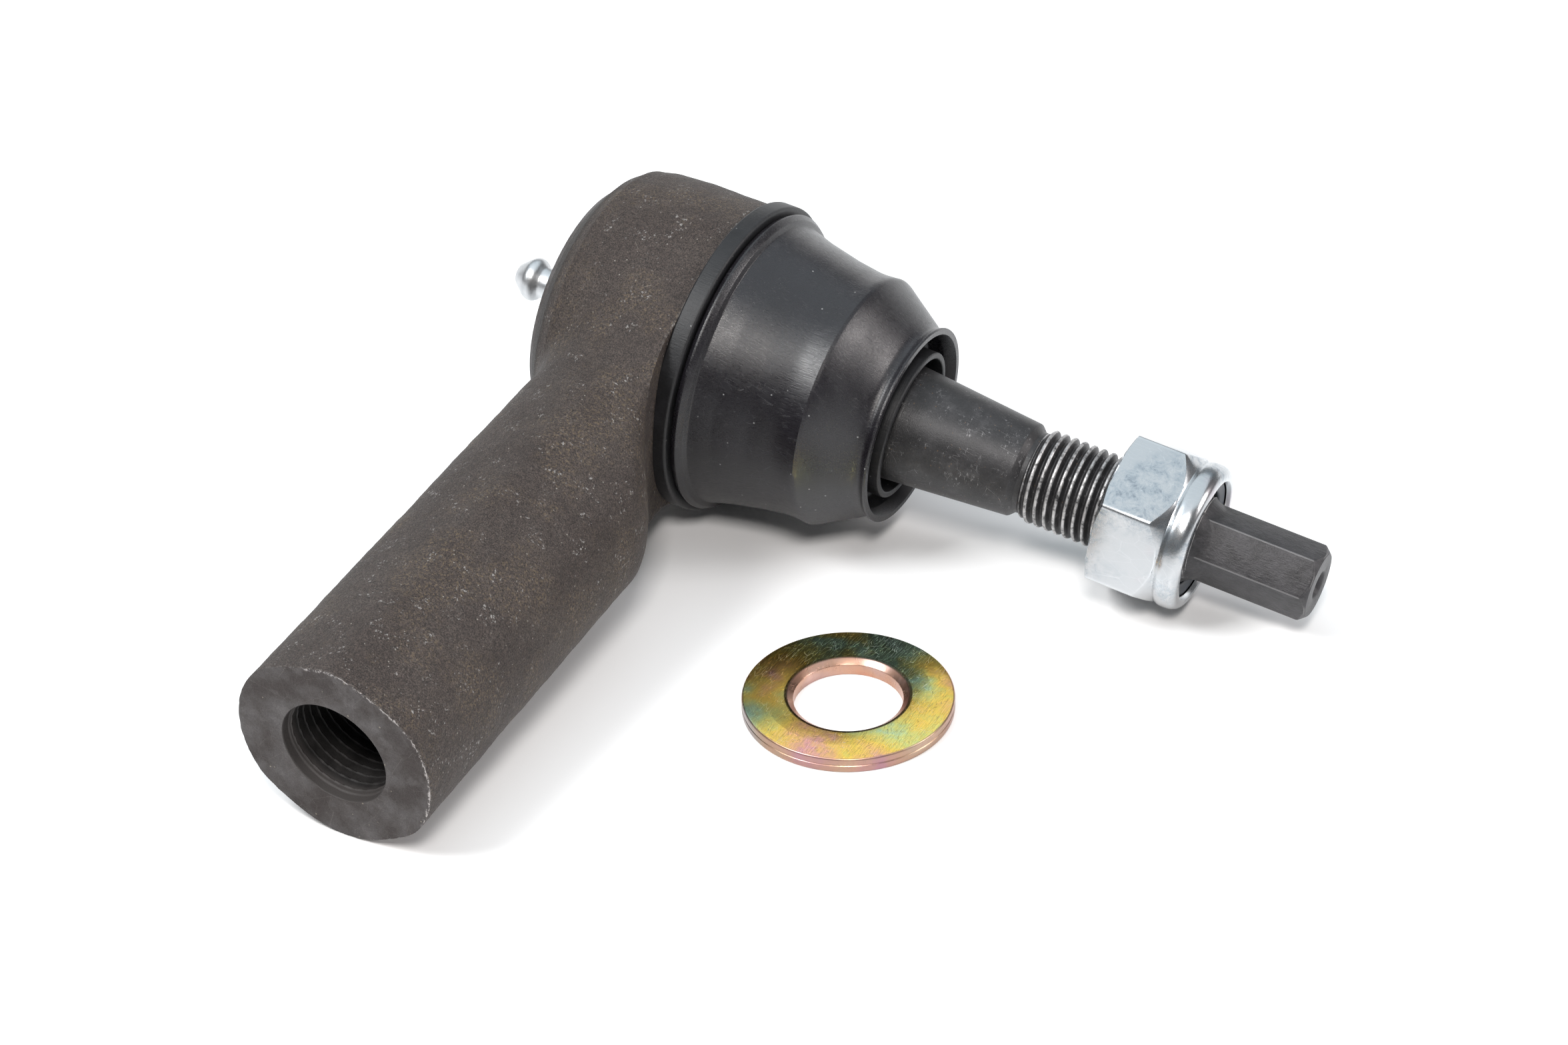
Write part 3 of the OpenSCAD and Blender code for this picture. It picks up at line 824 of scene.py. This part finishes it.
def zinc_plate():
    paint = Paint("zinc_plate")
    spangle = paint.noise(0.5, 8.0, 0.8, (3, 3, 1), twist=0.5)
    patchy = paint.patches(0.07, 2.0, 0.5, (4, 8, 2), 0.42, 0.6)
    spangle = paint.blend(patchy, 0.56, spangle)
    cloud = paint.noise(0.16, 3.0, 0.6, (6, 2, 1))
    grain = paint.noise(5.0, 3.0, 0.65)
    base = paint.ramp(spangle, [(0.38, (0.25, 0.28, 0.315)), (0.45, (0.39, 0.425, 0.455)),
                                (0.54, (0.49, 0.505, 0.52)), (0.66, (0.56, 0.565, 0.57))])
    pink = paint.patches(0.13, 2.0, 0.5, (31, 7, 3), 0.6, 0.72)
    colour = paint.coat(base, pink, 0.28, (0.52, 0.36, 0.42))
    line = paint.scratches(0.25, (0.4, 0.6, 1.0), (1, 4, 1), 0.014)
    colour = paint.coat(colour, line, 0.35, (0.7, 0.72, 0.74))
    colour = paint.coat(colour, paint.wear(), 0.7, (0.72, 0.74, 0.76))
    rough = paint.blend(paint.step(spangle, 0.3, 0.7), 0.28, 0.17)
    paint.set(Base_Color=colour, Metallic=1.0, Roughness=paint.plus(rough, paint.times(cloud, 0.08)))
    fine = paint.bump(grain, 0.004)
    paint.set(Normal=paint.bump(spangle, 0.016, fine))
    return paint.material


def yellow_zinc():
    paint = Paint("yellow_zinc")
    sweep = paint.noise(0.075, 2.0, 0.5, (3.4, 1.7, 6.1), twist=0.4)
    mottle = paint.noise(0.7, 4.0, 0.65, (3, 3, 1))
    tone = paint.plus(sweep, paint.times(paint.math("SUBTRACT", mottle, 0.5), 0.12))
    base = paint.ramp(tone, [
        (0.36, (0.78, 0.36, 0.38)), (0.42, (0.90, 0.52, 0.18)), (0.48, (0.92, 0.62, 0.12)),
        (0.54, (0.72, 0.68, 0.22)), (0.59, (0.50, 0.70, 0.46)), (0.64, (0.50, 0.70, 0.58)),
        (0.69, (0.78, 0.66, 0.26)), (0.75, (0.86, 0.44, 0.36))])
    lines = paint.larger(paint.scratches(0.32, (0.2, 0.3, 0.9), (1, 4, 1), 0.012),
                         paint.scratches(0.4, (1.3, 0.1, 0.4), (4, 1, 2), 0.01))
    colour = paint.coat(base, lines, 0.55, (0.30, 0.26, 0.15))
    pale = paint.scratches(0.36, (0.4, 1.2, 0.2), (9, 4, 2), 0.012, length=5.0)
    pale = paint.times(pale, paint.patches(0.35, 3.0, 0.6, (6, 2, 2), 0.46, 0.58))
    colour = paint.coat(colour, pale, 0.6, (0.85, 0.84, 0.76))
    out = paint.distance_out()
    rim = paint.step(out, 14.6, 14.9)
    colour = paint.coat(colour, rim, 0.8, (0.28, 0.17, 0.20))
    bevel = paint.step(out, 8.75, 8.6)
    colour = paint.coat(colour, bevel, 0.85, (0.44, 0.22, 0.205))
    lip = paint.times(paint.step(out, 9.15, 8.9), paint.step(out, 8.45, 8.6))
    colour = paint.coat(colour, lip, 0.75, (0.10, 0.055, 0.045))
    rough = paint.plus(paint.blend(mottle, 0.09, 0.2), paint.times(bevel, 0.14))
    rough = paint.plus(rough, paint.times(pale, 0.4))
    rough = paint.plus(rough, paint.times(rim, 0.2))
    paint.set(Base_Color=colour, Metallic=1.0, Roughness=rough)
    fine = paint.bump(mottle, 0.012)
    paint.set(Normal=paint.bump(lines, -0.008, fine))
    return paint.material


def mottled(paint, cloud_scale, grain_scale, dark, light, smooth, rough, depth):
    """Mottled colour, uneven gloss and a fine surface, for hidden or small pieces."""
    cloud = paint.noise(cloud_scale, 4.0, 0.6, (2, 5, 3))
    grain = paint.noise(grain_scale, 3.0, 0.6)
    paint.set(Base_Color=paint.ramp(cloud, [(0.3, dark), (0.7, light)]),
              Roughness=paint.blend(grain, smooth, rough), Normal=paint.bump(grain, depth))
    return paint.material


def plain_metal(name, dark, light, roughness, metallic=1.0, cad=False, depth=0.01):
    paint = Paint(name, cad)
    paint.set(Metallic=metallic)
    return mottled(paint, 0.5, 4.0, dark, light, roughness * 0.8, roughness * 1.25, depth)


def polymer(name, dark, light, roughness=0.5, cad=True):
    paint = Paint(name, cad)
    paint.set(Metallic=0.0, Subsurface_Weight=0.05)
    return mottled(paint, 0.3, 3.0, dark, light, roughness * 0.85, roughness * 1.15, 0.012)


# ---- Housing -------------------------------------------------------------------------------


HEAD_OUTLINE = [
    [0, -HEAD_BACK], [17.4, -HEAD_BACK], [18.3, -18.2], [20.3, -16.7], [21.6, -14.9],
    [22.2, -12.1], [HEAD_R, -7.1], [HEAD_R, 20], [0, 20]]
SPIGOT_OUTLINE = [[0, -8], [SPIGOT_R, -8], [SPIGOT_R, SPIGOT_END - 0.8],
                  [SPIGOT_R - 0.8, SPIGOT_END], [0, SPIGOT_END]]
SOCKET_OUTLINE = [
    [0, -24], [15.6, -24], [15.6, -19.1], [14.7, -18.7], [14.4, -18], [16.4, -18],
    [16.4, -16], [15, -16], [15, 6.2], [11, 6.2], [12.9, SPIGOT_END], [12.9, 12], [0, 12]]
# Forging flats along the shank: direction of each flat's normal in degrees, and its distance
SHANK_FLATS = [(66, 14.72), (112, 14.62), (-60, 14.9), (-116, 14.92), (-88, 14.98)]


def shank_section(x, z, along):
    """Distance to the shank's section, which is nearly round with narrow forging flats."""
    grown = 1 + (SHANK_R_ROOT / SHANK_R_END - 1) * (1 - along / SHANK_LENGTH)
    x, z = x / grown, z / grown
    section = np.hypot(x, z) - 15.28
    for degrees, distance in SHANK_FLATS:
        a = math.radians(degrees)
        flat = x * math.cos(a) + z * math.sin(a) - distance
        section = fillet_cut(section, flat, 1.6)
    return section * grown


def housing_field(points):
    """Signed distance to the forging, in the head's frame."""
    x, y, z = points.T
    along = -y
    radius = np.hypot(y, z)
    head = outline_distance(x, radius, HEAD_OUTLINE)
    shank = fillet_cut(shank_section(x, z, along), along - SHANK_LENGTH, 0.25)
    fillet = 2.0 + 7.5 * smoothstep(-16.5, -6.0, x)
    body = fillet_join(head, np.maximum(shank, -along + 2), fillet)
    past_face = x - HEAD_FRONT
    past_ramp = (RAMP_START + RAMP_SLOPE * past_face - along) / math.hypot(1, RAMP_SLOPE)
    kept = fillet_join(past_face, past_ramp, 6.0)
    body = fillet_cut(body, kept, 0.25 + 3.2 * smoothstep(24.0, 31.0, along))
    body = np.minimum(body, outline_distance(x, radius, SPIGOT_OUTLINE))
    body = np.maximum(body, -(x + HEAD_BACK))
    body = np.maximum(body, -outline_distance(x, radius, SOCKET_OUTLINE))
    bore = np.hypot(x, z) - BORE_MOUTH_R
    bottom = SHANK_LENGTH - THREAD_DEPTH - 3
    return np.maximum(body, -np.maximum(bore, bottom - along))


def roughened(points, normals):
    """Low waves of the forged skin, which fade out on the machined faces."""
    x, y, z = points.T
    radius = np.hypot(y, z)
    forged = smoothstep(0.3, 2.5, SHANK_LENGTH + y) * smoothstep(-18.0, -15.5, x)
    forged = forged * smoothstep(0.2, 1.4, HEAD_FRONT - x + np.maximum(0, radius - 23.6) * 4)
    forged = forged * smoothstep(8.6, 9.4, np.where(y < -40, np.hypot(x, z), 20.0))
    forged = forged * smoothstep(17.0, 18.5, np.where(y > -20, radius, 30.0))
    waves = np.array([
        0.13 * noise.noise(Vector(p) * 0.16) + 0.055 * noise.noise(Vector(p) * 0.55)
        + 0.03 * noise.noise(Vector(p) * 1.3) for p in points])
    return points + normals * (forged * (waves - 0.05))[:, None]


def bore_thread():
    """Sleeve that carries the shank's M16 thread, with the chamfer at its mouth."""
    sides = 96
    angles = np.arange(sides) * 2 * math.pi / sides
    mouth, depth = SHANK_LENGTH - 0.02, SHANK_LENGTH - THREAD_DEPTH
    flare_end = mouth - 2.6

    def radius(x, angle):
        thread = thread_profile(x, -angle, BORE_MAJOR_R, BORE_MINOR_R)
        flare = np.minimum(BORE_MINOR_R - 0.1 + (x - flare_end) * 0.9, BORE_MOUTH_R - 0.08)
        flare = np.maximum(flare, BORE_MOUTH_R - 0.3 + (x - mouth + 0.3))
        return np.maximum(thread, np.where(x > flare_end, flare, 0))

    columns, shift = threaded(-angles[::-1], depth, mouth, radius)
    wall = turned_points(columns, -angles[::-1])
    faces = threaded_faces(sides, columns.shape[1], shift)
    first = turned_points(np.stack([columns[:, 0], columns[:, 0] * [0, 1] + [8.7, 0],
                                    columns[:, -1] * [0, 1] + [8.7, 0], columns[:, -1]],
                                   axis=1), -angles[::-1])
    shell = grid_faces(sides, 4, False)
    points, faces = joined((wall, faces), (first, shell))
    # the sleeve's axis is the shank's, which is the head's -Y
    return points[:, [1, 0, 2]] * [1, -1, 1], faces


def build_housing(materials):
    points, faces = contour(housing_field, (-20.6, -100.2, -23.9), (17.0, 23.9, 23.9), 0.5)
    points = roughened(points, field_normals(housing_field, points))

    def choose(middles):
        x, y, z = middles.T
        faced = y < -SHANK_LENGTH + 0.08
        band = (x < -18.15) & (np.hypot(y, z) < 18.45)
        inside = (np.hypot(y, z) < 17.2) & (x > -18.4)
        return np.where(faced | band | inside, 1, 0)

    # the shank lies on the table
    height = placed(points, HEAD)[:, 2] / MM
    points = points + np.outer(np.maximum(0.01 - height, 0), HEAD[:, 2])
    piece("housing_forging", (points, faces), HEAD, materials[:2], ["housing"],
          "housing", choose=choose, sharp=38)
    piece("shank_thread_form", bore_thread(), HEAD, materials[2:], (), "housing")


# ---- Ball stud ------------------------------------------------------------------------------


def stud_shape():
    angles = hex_angles(TIP_PHASE, 15)
    sides = len(angles)
    ball = [[BALL_R * math.sin(t), -BALL_R * math.cos(t)]
            for t in np.linspace(0, math.pi - math.asin(NECK_R / BALL_R), 40)]
    # the first and last corners only give the outline its direction there
    neck = rounded([
        (0, -1, 0), (NECK_R, ball[-1][1] + 0.2, 0.8), (NECK_R, 23.2, 3), (8.1, 26.4, 2.4),
        (SEAL_R, 28.0, 2.0), (SEAL_R, 32.4, 6), (TAPER_END_R, TAPER_END - 0.1, 0.45),
        (6.15, TAPER_END + 0.85, 0.25), (STUD_THREAD_ROOT_R, THREAD_START, 0), (0, 60, 0)])
    plain = np.array(ball[:-1] + neck[1:-1].tolist())
    tip_r = hex_radius(angles, TIP_PHASE, TIP_FLATS, 0.35)

    def radius(x, angle):
        thread = thread_profile(x, angle, STUD_THREAD_ROOT_R, STUD_THREAD_R)
        start = STUD_THREAD_ROOT_R + (x - THREAD_START) * 0.9
        end = STUD_THREAD_R - (x - THREAD_END + 1.2) * 0.75
        return np.minimum(thread, np.minimum(start, end))

    columns, shift = threaded(angles, THREAD_START, THREAD_END, radius)
    end_r = columns[0, -1, 0]
    tip = []
    for hex_r in tip_r:
        meets = THREAD_END + (end_r - hex_r) / 0.5
        chamfer = STUD_END - (hex_r - 4.75)
        tip.append([[end_r, THREAD_END], [hex_r + 0.12, meets - 0.2], [hex_r, meets + 0.25],
                    [hex_r, chamfer - 0.2], [hex_r - 0.07, chamfer], [4.9, STUD_END - 0.15],
                    [4.72, STUD_END], [2.25, STUD_END], [2.0, STUD_END - 0.15],
                    [1.0, STUD_END - 2.2], [1.0, STUD_END - 4.4], [0, STUD_END - 5]])
    tip = np.array(tip)
    plain_columns = np.repeat(plain[None], sides, axis=0)
    return joined(
        (turned_points(plain_columns, angles), grid_faces(sides, len(plain), False)),
        (turned_points(columns, angles), threaded_faces(sides, columns.shape[1], shift)),
        (turned_points(tip, angles), grid_faces(sides, tip.shape[1], False)))


def build_stud(body_material, tip_material):
    def choose(middles):
        return np.where(middles[:, 0] > THREAD_END, 1, 0)

    piece("ball_stud_forging", stud_shape(), STUD, [body_material, tip_material],
          ["ball_stud"], "stud", choose=choose, sharp=36)


# ---- Lock nut --------------------------------------------------------------------------------


def nut_shape():
    angles = hex_angles(NUT_PHASE, 30, 2.2)
    corners = hex_radius(angles, NUT_PHASE, NUT_FLATS, 0.7)
    columns = []
    for r in corners:
        low = max((r - 11.1) * 0.45, 0.06)
        high = 9.95 - (r - 10.85) * 1.2
        columns.append([
            [7.05, 0.95], [7.9, 0.05], [8.1, 0], [10.7, 0], [10.85, 0.02], [r - 0.12, low],
            [r, low + 0.14], [r, high - 0.16], [r - 0.1, high + 0.06],
            [10.72, 9.98], [10.62, 10.14], [10.64, 10.34], [10.84, 10.62],
            [10.97, 11.0], [11.0, 11.5], [10.98, 12.2], [10.88, 12.75], [10.66, 13.22],
            [10.3, 13.6], [9.9, 13.82], [9.45, 13.9], [9.1, 13.82], [8.85, 13.58],
            [8.72, 13.25], [9.3, 13.05], [9.6, 12.8], [9.6, 9.7], [7.05, 9.7]])
    columns = np.array(columns) + [0, NUT_FACE]
    return turned_points(columns, angles), grid_faces(len(angles), columns.shape[1], True)


def build_nut(zinc, nylon):
    piece("lock_nut_body", nut_shape(), STUD, [zinc], ["lock_nut"], "nut", sharp=30)
    low, high = NUT_FACE + 9.75, NUT_FACE + 13.1
    outline = rounded([(7.06, low, 0.1), (9.54, low, 0.1), (9.54, high - 0.4, 0.3),
                       (8.5, high, 0.4), (7.06, high - 0.35, 0.5)])
    piece("nylon_ring", turned(outline, 120), STUD, [nylon], ["nylon_insert"],
          "nut_ring")


# ---- Boot ------------------------------------------------------------------------------------


def boot_piece(name, outline, material):
    """A turned rubber shell. Its rings stand square to the head, and beyond the crease their
    centres move over to the stud, which leans. The seat of the neck ring leans with it."""
    outline = dense(outline, 0.9)
    sides = 200
    points, faces = turned(outline, sides)
    rings = points.reshape(sides, len(outline), 3)
    world = np.empty_like(rings)
    for k, (r, x) in enumerate(outline):
        seat = float(smoothstep(14.0, 11.6, r)) if x > NECK_FLOOR - 0.1 else 0.0
        share = float(smoothstep(CREASE_X, CREASE_X + 6.5, x))
        lean = 0.35 * share * (1 - seat) + seat
        share += (1 - share) * seat
        centre = placed([x, 0, 0], HEAD) * (1 - share) + placed([x, 0, 0], STUD) * share
        world[:, k] = placed(rings[:, k] * [0, 1, 1], between_frames(lean), centre)
    return piece(name, (points, faces), HEAD, [material], ["dust_boot"],
                 world=world.reshape(-1, 3), sharp=30)


def build_boot(rubber, ring):
    foot = FLANGE_X + 0.3
    neck_top = NECK_FLOOR + 1.6
    outside = rounded([
        (19.5, foot, 0), (22.35, foot, 0.2), (22.8, 8.3, 0.4), (22.15, 9.2, 0.35),
        (21.35, 9.55, 0.3), (20.4, 12.9, 9), (19.35, 18, 14), (18.72, 22.6, 12),
        (CREASE_R, CREASE_X, 0), (18.75, CREASE_X + 0.45, 0.5), (14.75, 32.0, 2.5),
        (14.45, BOOT_END - 1.2, 1.2), (15.0, BOOT_END - 0.3, 0.3), (14.9, BOOT_END, 0.12),
        (14.05, BOOT_END, 0)])
    inside = rounded([
        (19.5, 10.4, 0), (17.4, 13, 5), (16.6, 20, 5), (17.7, 25.0, 1.2), (15.3, NECK_FLOOR, 0),
        (11.6, NECK_FLOOR, 0), (11.6, neck_top, 0), (12.9, neck_top, 0.3),
        (13.3, BOOT_END - 1.6, 0.5), (13.95, BOOT_END - 0.15, 0)])
    cut_outside, cut_inside = (
        np.array([[np.interp(BOOT_SPLIT, line[:, 1], line[:, 0]), BOOT_SPLIT]])
        for line in (outside, inside))
    lower = np.concatenate([outside[outside[:, 1] < BOOT_SPLIT], cut_outside, cut_inside,
                            inside[inside[:, 1] < BOOT_SPLIT][::-1]])
    upper = np.concatenate([cut_outside, outside[outside[:, 1] > BOOT_SPLIT],
                            inside[inside[:, 1] > BOOT_SPLIT][::-1], cut_inside])
    made = boot_piece("boot_skirt", lower, rubber)
    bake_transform(made)
    made = boot_piece("boot_cone", upper, rubber)
    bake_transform(made)
    base = rounded([
        (SPIGOT_R, HEAD_FRONT, 0), (FLANGE_R, HEAD_FRONT, 0.35), (FLANGE_R, FLANGE_X, 0.45),
        (22.6, FLANGE_X + 0.05, 0), (19.2, FLANGE_X, 0), (19.2, 9.4, 0.3), (SPIGOT_R, 9.4, 0)])
    piece("base_ring", turned(base, 200), HEAD, [ring], ["boot_base_ring"],
          "housing")
    neck = rounded([
        (8.76, NECK_FLOOR, 0.1), (9.75, NECK_FLOOR, 0.2), (11.25, neck_top, 0.2),
        (11.25, BOOT_END, 0.3), (10.3, BOOT_END, 0.25), (10.2, neck_top + 0.4, 0.5),
        (8.9, neck_top, 0.2), (8.76, neck_top - 0.4, 0.1)])
    piece("neck_ring", turned(neck, 160), STUD, [ring], ["boot_neck_ring"],
          "boot_neck")


# ---- Small pieces ----------------------------------------------------------------------------


def build_fitting(zinc):
    angles = hex_angles(FITTING_PHASE, 10, 3.0)
    corners = hex_radius(angles, FITTING_PHASE, 8.0, 0.35)
    columns = []
    for r in corners:
        chamfer = (r - 3.9) * 0.5
        columns.append([
            [0.75, -31.4], [1.35, -31.4], [1.55, -31.3], [2.35, -30.35], [3.0, -29.55],
            [3.25, -29.1], [3.3, -28.6], [3.22, -28.2], [2.95, -27.75], [2.5, -27.3],
            [2.35, -26.9], [2.35, -25.6], [2.5, -25.2], [3.2, -24.5], [3.45, -24.2],
            [3.5, -23.6], [3.9, -23.6], [r - 0.05, -23.6 + chamfer], [r, -23.5 + chamfer],
            [r, -21.2], [r - 0.1, FITTING_SEAT], [3.2, FITTING_SEAT], [3.2, -18],
            [1.15, -18], [1.15, -30.3], [0.75, -30.8]])
    columns = np.array(columns)
    shape = turned_points(columns, angles), grid_faces(len(angles), columns.shape[1], True)
    piece("grease_nipple", shape, HEAD, [zinc], ["grease_fitting_body"], "housing",
          sharp=32)


def build_check_spring(steel):
    """Coil behind the fitting's check ball."""
    turns, coil_r, wire_r, front, back = 7, 0.85, 0.16, -28.9, -23.1
    sides, steps = 12, 28
    share = np.linspace(0, 1, turns * steps + 1)
    turn = 2 * math.pi * turns * share
    round_wire = (np.arange(sides) * 2 * math.pi / sides)[:, None]
    x = front + (back - front) * share + wire_r * np.sin(round_wire)
    r = coil_r + wire_r * np.cos(round_wire)
    points = np.stack([x, r * np.cos(turn), r * np.sin(turn)], axis=-1).reshape(-1, 3)
    rings = len(share)
    faces = grid_faces(sides, rings, False).tolist()
    faces += [[i * rings for i in range(sides)], [i * rings + rings - 1 for i in range(sides)]]
    made = piece("check_spring", (points, faces), HEAD, [steel],
                 ["grease_fitting_spring"], "housing", sharp=40)
    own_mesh(made)


def build_cover(steel):
    outline = rounded([
        (3.2, FITTING_SEAT, 0.1), (6.3, FITTING_SEAT, 2.5), (12.2, -18.75, 2.0),
        (13.5, -18.0, 0.8), (16.4, -18.0, 0), (16.4, -16.0, 0), (12.8, -16.0, 0.8),
        (11.4, -16.7, 1.5), (6.0, -19.0, 2.0), (3.2, -19.0, 0.1)])
    piece("end_cover", turned(outline, 160), HEAD, [steel], ["cover_plate"],
          "housing")


def build_washer(finish):
    low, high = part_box("flat_washer")
    centre = np.array([(low.x + high.x) / 2, (low.y + high.y) / 2, low.z])
    outer, thick = (high.x - low.x) / 2 / MM, (high.z - low.z) / MM
    outline = rounded([
        (7.7, 0, 0.15), (outer - 0.1, 0, 0.25), (outer, 0.3, 0.3), (outer, 1.0, 0.05),
        (outer - 0.14, 1.12, 0.04), (outer, 1.24, 0.08), (outer, thick - 0.12, 0.3),
        (14.0, thick - 0.1, 1.0), (11.8, thick - 0.01, 2.0), (8.95, thick, 0.2),
        (8.6, thick - 0.03, 0.1), (7.72, thick - 0.7, 0.15)])
    piece("plain_washer", turned(outline, 200), UPRIGHT, [finish],
          ["flat_washer"], "washer", origin=centre)


def finish_cad_nodes():
    """The pieces inside the socket and the check ball keep their own meshes."""
    looks = {
        "front_bearing_seat": polymer("seat_polymer", (0.62, 0.57, 0.44), (0.72, 0.68, 0.56)),
        "pressure_seat": polymer("pressure_polymer", (0.58, 0.53, 0.40), (0.68, 0.63, 0.50)),
        "preload_disc_spring": plain_metal("disc_spring_steel", (0.2, 0.21, 0.22),
                                           (0.3, 0.31, 0.33), 0.34, cad=True),
        "grease_fitting_ball": plain_metal("check_ball_steel", (0.72, 0.73, 0.75),
                                           (0.86, 0.87, 0.88), 0.12, cad=True, depth=0.001)}
    for name, material in looks.items():
        node = frame["nodes"][name]
        node.data.materials.clear()
        node.data.materials.append(material)


# ---- Floor, lights and camera -----------------------------------------------------------------

VIEW_AZIMUTH = 29.78
VIEW_ELEVATION = 34.93
VIEW_ROLL = 1.33
VIEW_DISTANCE = 752.9
LENS = 117.28
# Where the camera aims, measured on the floor from the point below the ball's centre
AIM = np.array([BALL[0], BALL[1], 0]) + np.array([15.70, -4.72, 0]) * MM


def view_axes():
    """The camera's right, up and forward directions before it rolls."""
    a, e = math.radians(VIEW_AZIMUTH), math.radians(VIEW_ELEVATION)
    forward = np.array([-math.sin(a) * math.cos(e), math.cos(a) * math.cos(e), -math.sin(e)])
    right = unit(np.cross(forward, [0, 0, 1]))
    return right, np.cross(right, forward), forward


def add_camera():
    right, up, forward = view_axes()
    roll = math.radians(VIEW_ROLL)
    tilted_right = right * math.cos(roll) - up * math.sin(roll)
    tilted_up = up * math.cos(roll) + right * math.sin(roll)
    data = bpy.data.cameras.new("camera")
    data.lens = LENS
    data.sensor_width = 36
    data.clip_start, data.clip_end = 0.01, 100
    camera = bpy.data.objects.new("camera", data)
    place = AIM - forward * VIEW_DISTANCE * MM
    turn = np.array([tilted_right, tilted_up, -forward]).T
    camera.matrix_world = Matrix.Translation(Vector(place)) @ Matrix(turn.tolist()).to_4x4()
    bpy.context.scene.collection.objects.link(camera)
    bpy.context.scene.camera = camera


def add_softbox(name, aside, back, elevation, distance, width, depth, radiance,
                tint=(1, 1, 1), level_box=False):
    """A rectangular softbox that faces the aim point, or straight down if it is level.
    (aside, back) is its direction over the floor, to the camera's right and away from the
    camera. Its distance is in metres."""
    right, up, forward = view_axes()
    away = unit([forward[0], forward[1], 0])
    level = unit(right * aside + away * back)
    e = math.radians(elevation)
    toward = level * math.cos(e) + np.array([0, 0, 1]) * math.sin(e)
    data = bpy.data.lights.new(name, "AREA")
    data.shape, data.size, data.size_y = "RECTANGLE", width, depth
    data.energy = radiance * math.pi * width * depth
    data.color = tint
    light = bpy.data.objects.new(name, data)
    light.location = AIM + toward * distance
    if level_box:
        light.rotation_euler = (0, 0, math.atan2(level[1], level[0]) - math.pi / 2)
    else:
        light.rotation_euler = Vector(-toward).to_track_quat("-Z", "Y").to_euler()
    bpy.context.scene.collection.objects.link(light)


def add_studio():
    scene = bpy.context.scene
    scene.view_settings.view_transform = "Standard"
    scene.view_settings.look = "None"
    world = bpy.data.worlds.new("studio")
    world.use_nodes = True
    world.node_tree.nodes["Background"].inputs[0].default_value = (0.95, 0.97, 1, 1)
    world.node_tree.nodes["Background"].inputs[1].default_value = 0.14
    scene.world = world
    add_softbox("overhead", 0, 1, 64.9, 1.215, 1.9, 2.03, 1.08, (0.84, 0.94, 1.0), True)
    add_softbox("backdrop", 0, 1, 8, 1.3, 3.4, 0.34, 1.6)
    add_softbox("front", 0, -1, 50, 1.2, 0.24, 0.24, 42.0, (1.0, 0.96, 0.93))
    add_softbox("left", -0.9, -0.42, 52, 1.2, 0.40, 0.40, 20.0)
    add_softbox("right", 0.985, -0.17, 28, 1.2, 0.30, 0.40, 17.0, (1.0, 0.95, 0.94))


def add_floor():
    mesh = bpy.data.meshes.new("floor")
    half = 8.0
    mesh.from_pydata([(-half, -half, 0), (half, -half, 0), (half, half, 0), (-half, half, 0)],
                     [], [(0, 1, 2, 3)])
    floor = bpy.data.objects.new("floor", mesh)
    bpy.context.scene.collection.objects.link(floor)
    material = bpy.data.materials.new("floor")
    material.use_nodes = True
    shader = material.node_tree.nodes["Principled BSDF"]
    shader.inputs["Base Color"].default_value = (0.93, 0.93, 0.93, 1)
    shader.inputs["Roughness"].default_value = 0.3
    shader.inputs["Specular IOR Level"].default_value = 0.35
    mesh.materials.append(material)


# ---- The scene ----------------------------------------------------------------------------------

build_housing([forged_steel(), machined_steel(), bore_steel()])
build_stud(stud_steel(), tip_steel())
zinc = zinc_plate()
build_nut(zinc, polymer("nylon", (0.03, 0.035, 0.045), (0.055, 0.062, 0.08), 0.42, cad=False))
build_boot(boot_rubber(), ring_rubber())
build_fitting(plain_metal("fitting_zinc", (0.50, 0.515, 0.53), (0.64, 0.65, 0.66), 0.36))
build_check_spring(plain_metal("spring_wire", (0.4, 0.41, 0.43), (0.56, 0.57, 0.6), 0.28,
                               depth=0.004))
build_cover(plain_metal("cover_steel", (0.085, 0.078, 0.072), (0.14, 0.13, 0.122), 0.5, 0.3,
                        depth=0.05))
build_washer(yellow_zinc())
finish_cad_nodes()
add_floor()
add_studio()
add_camera()
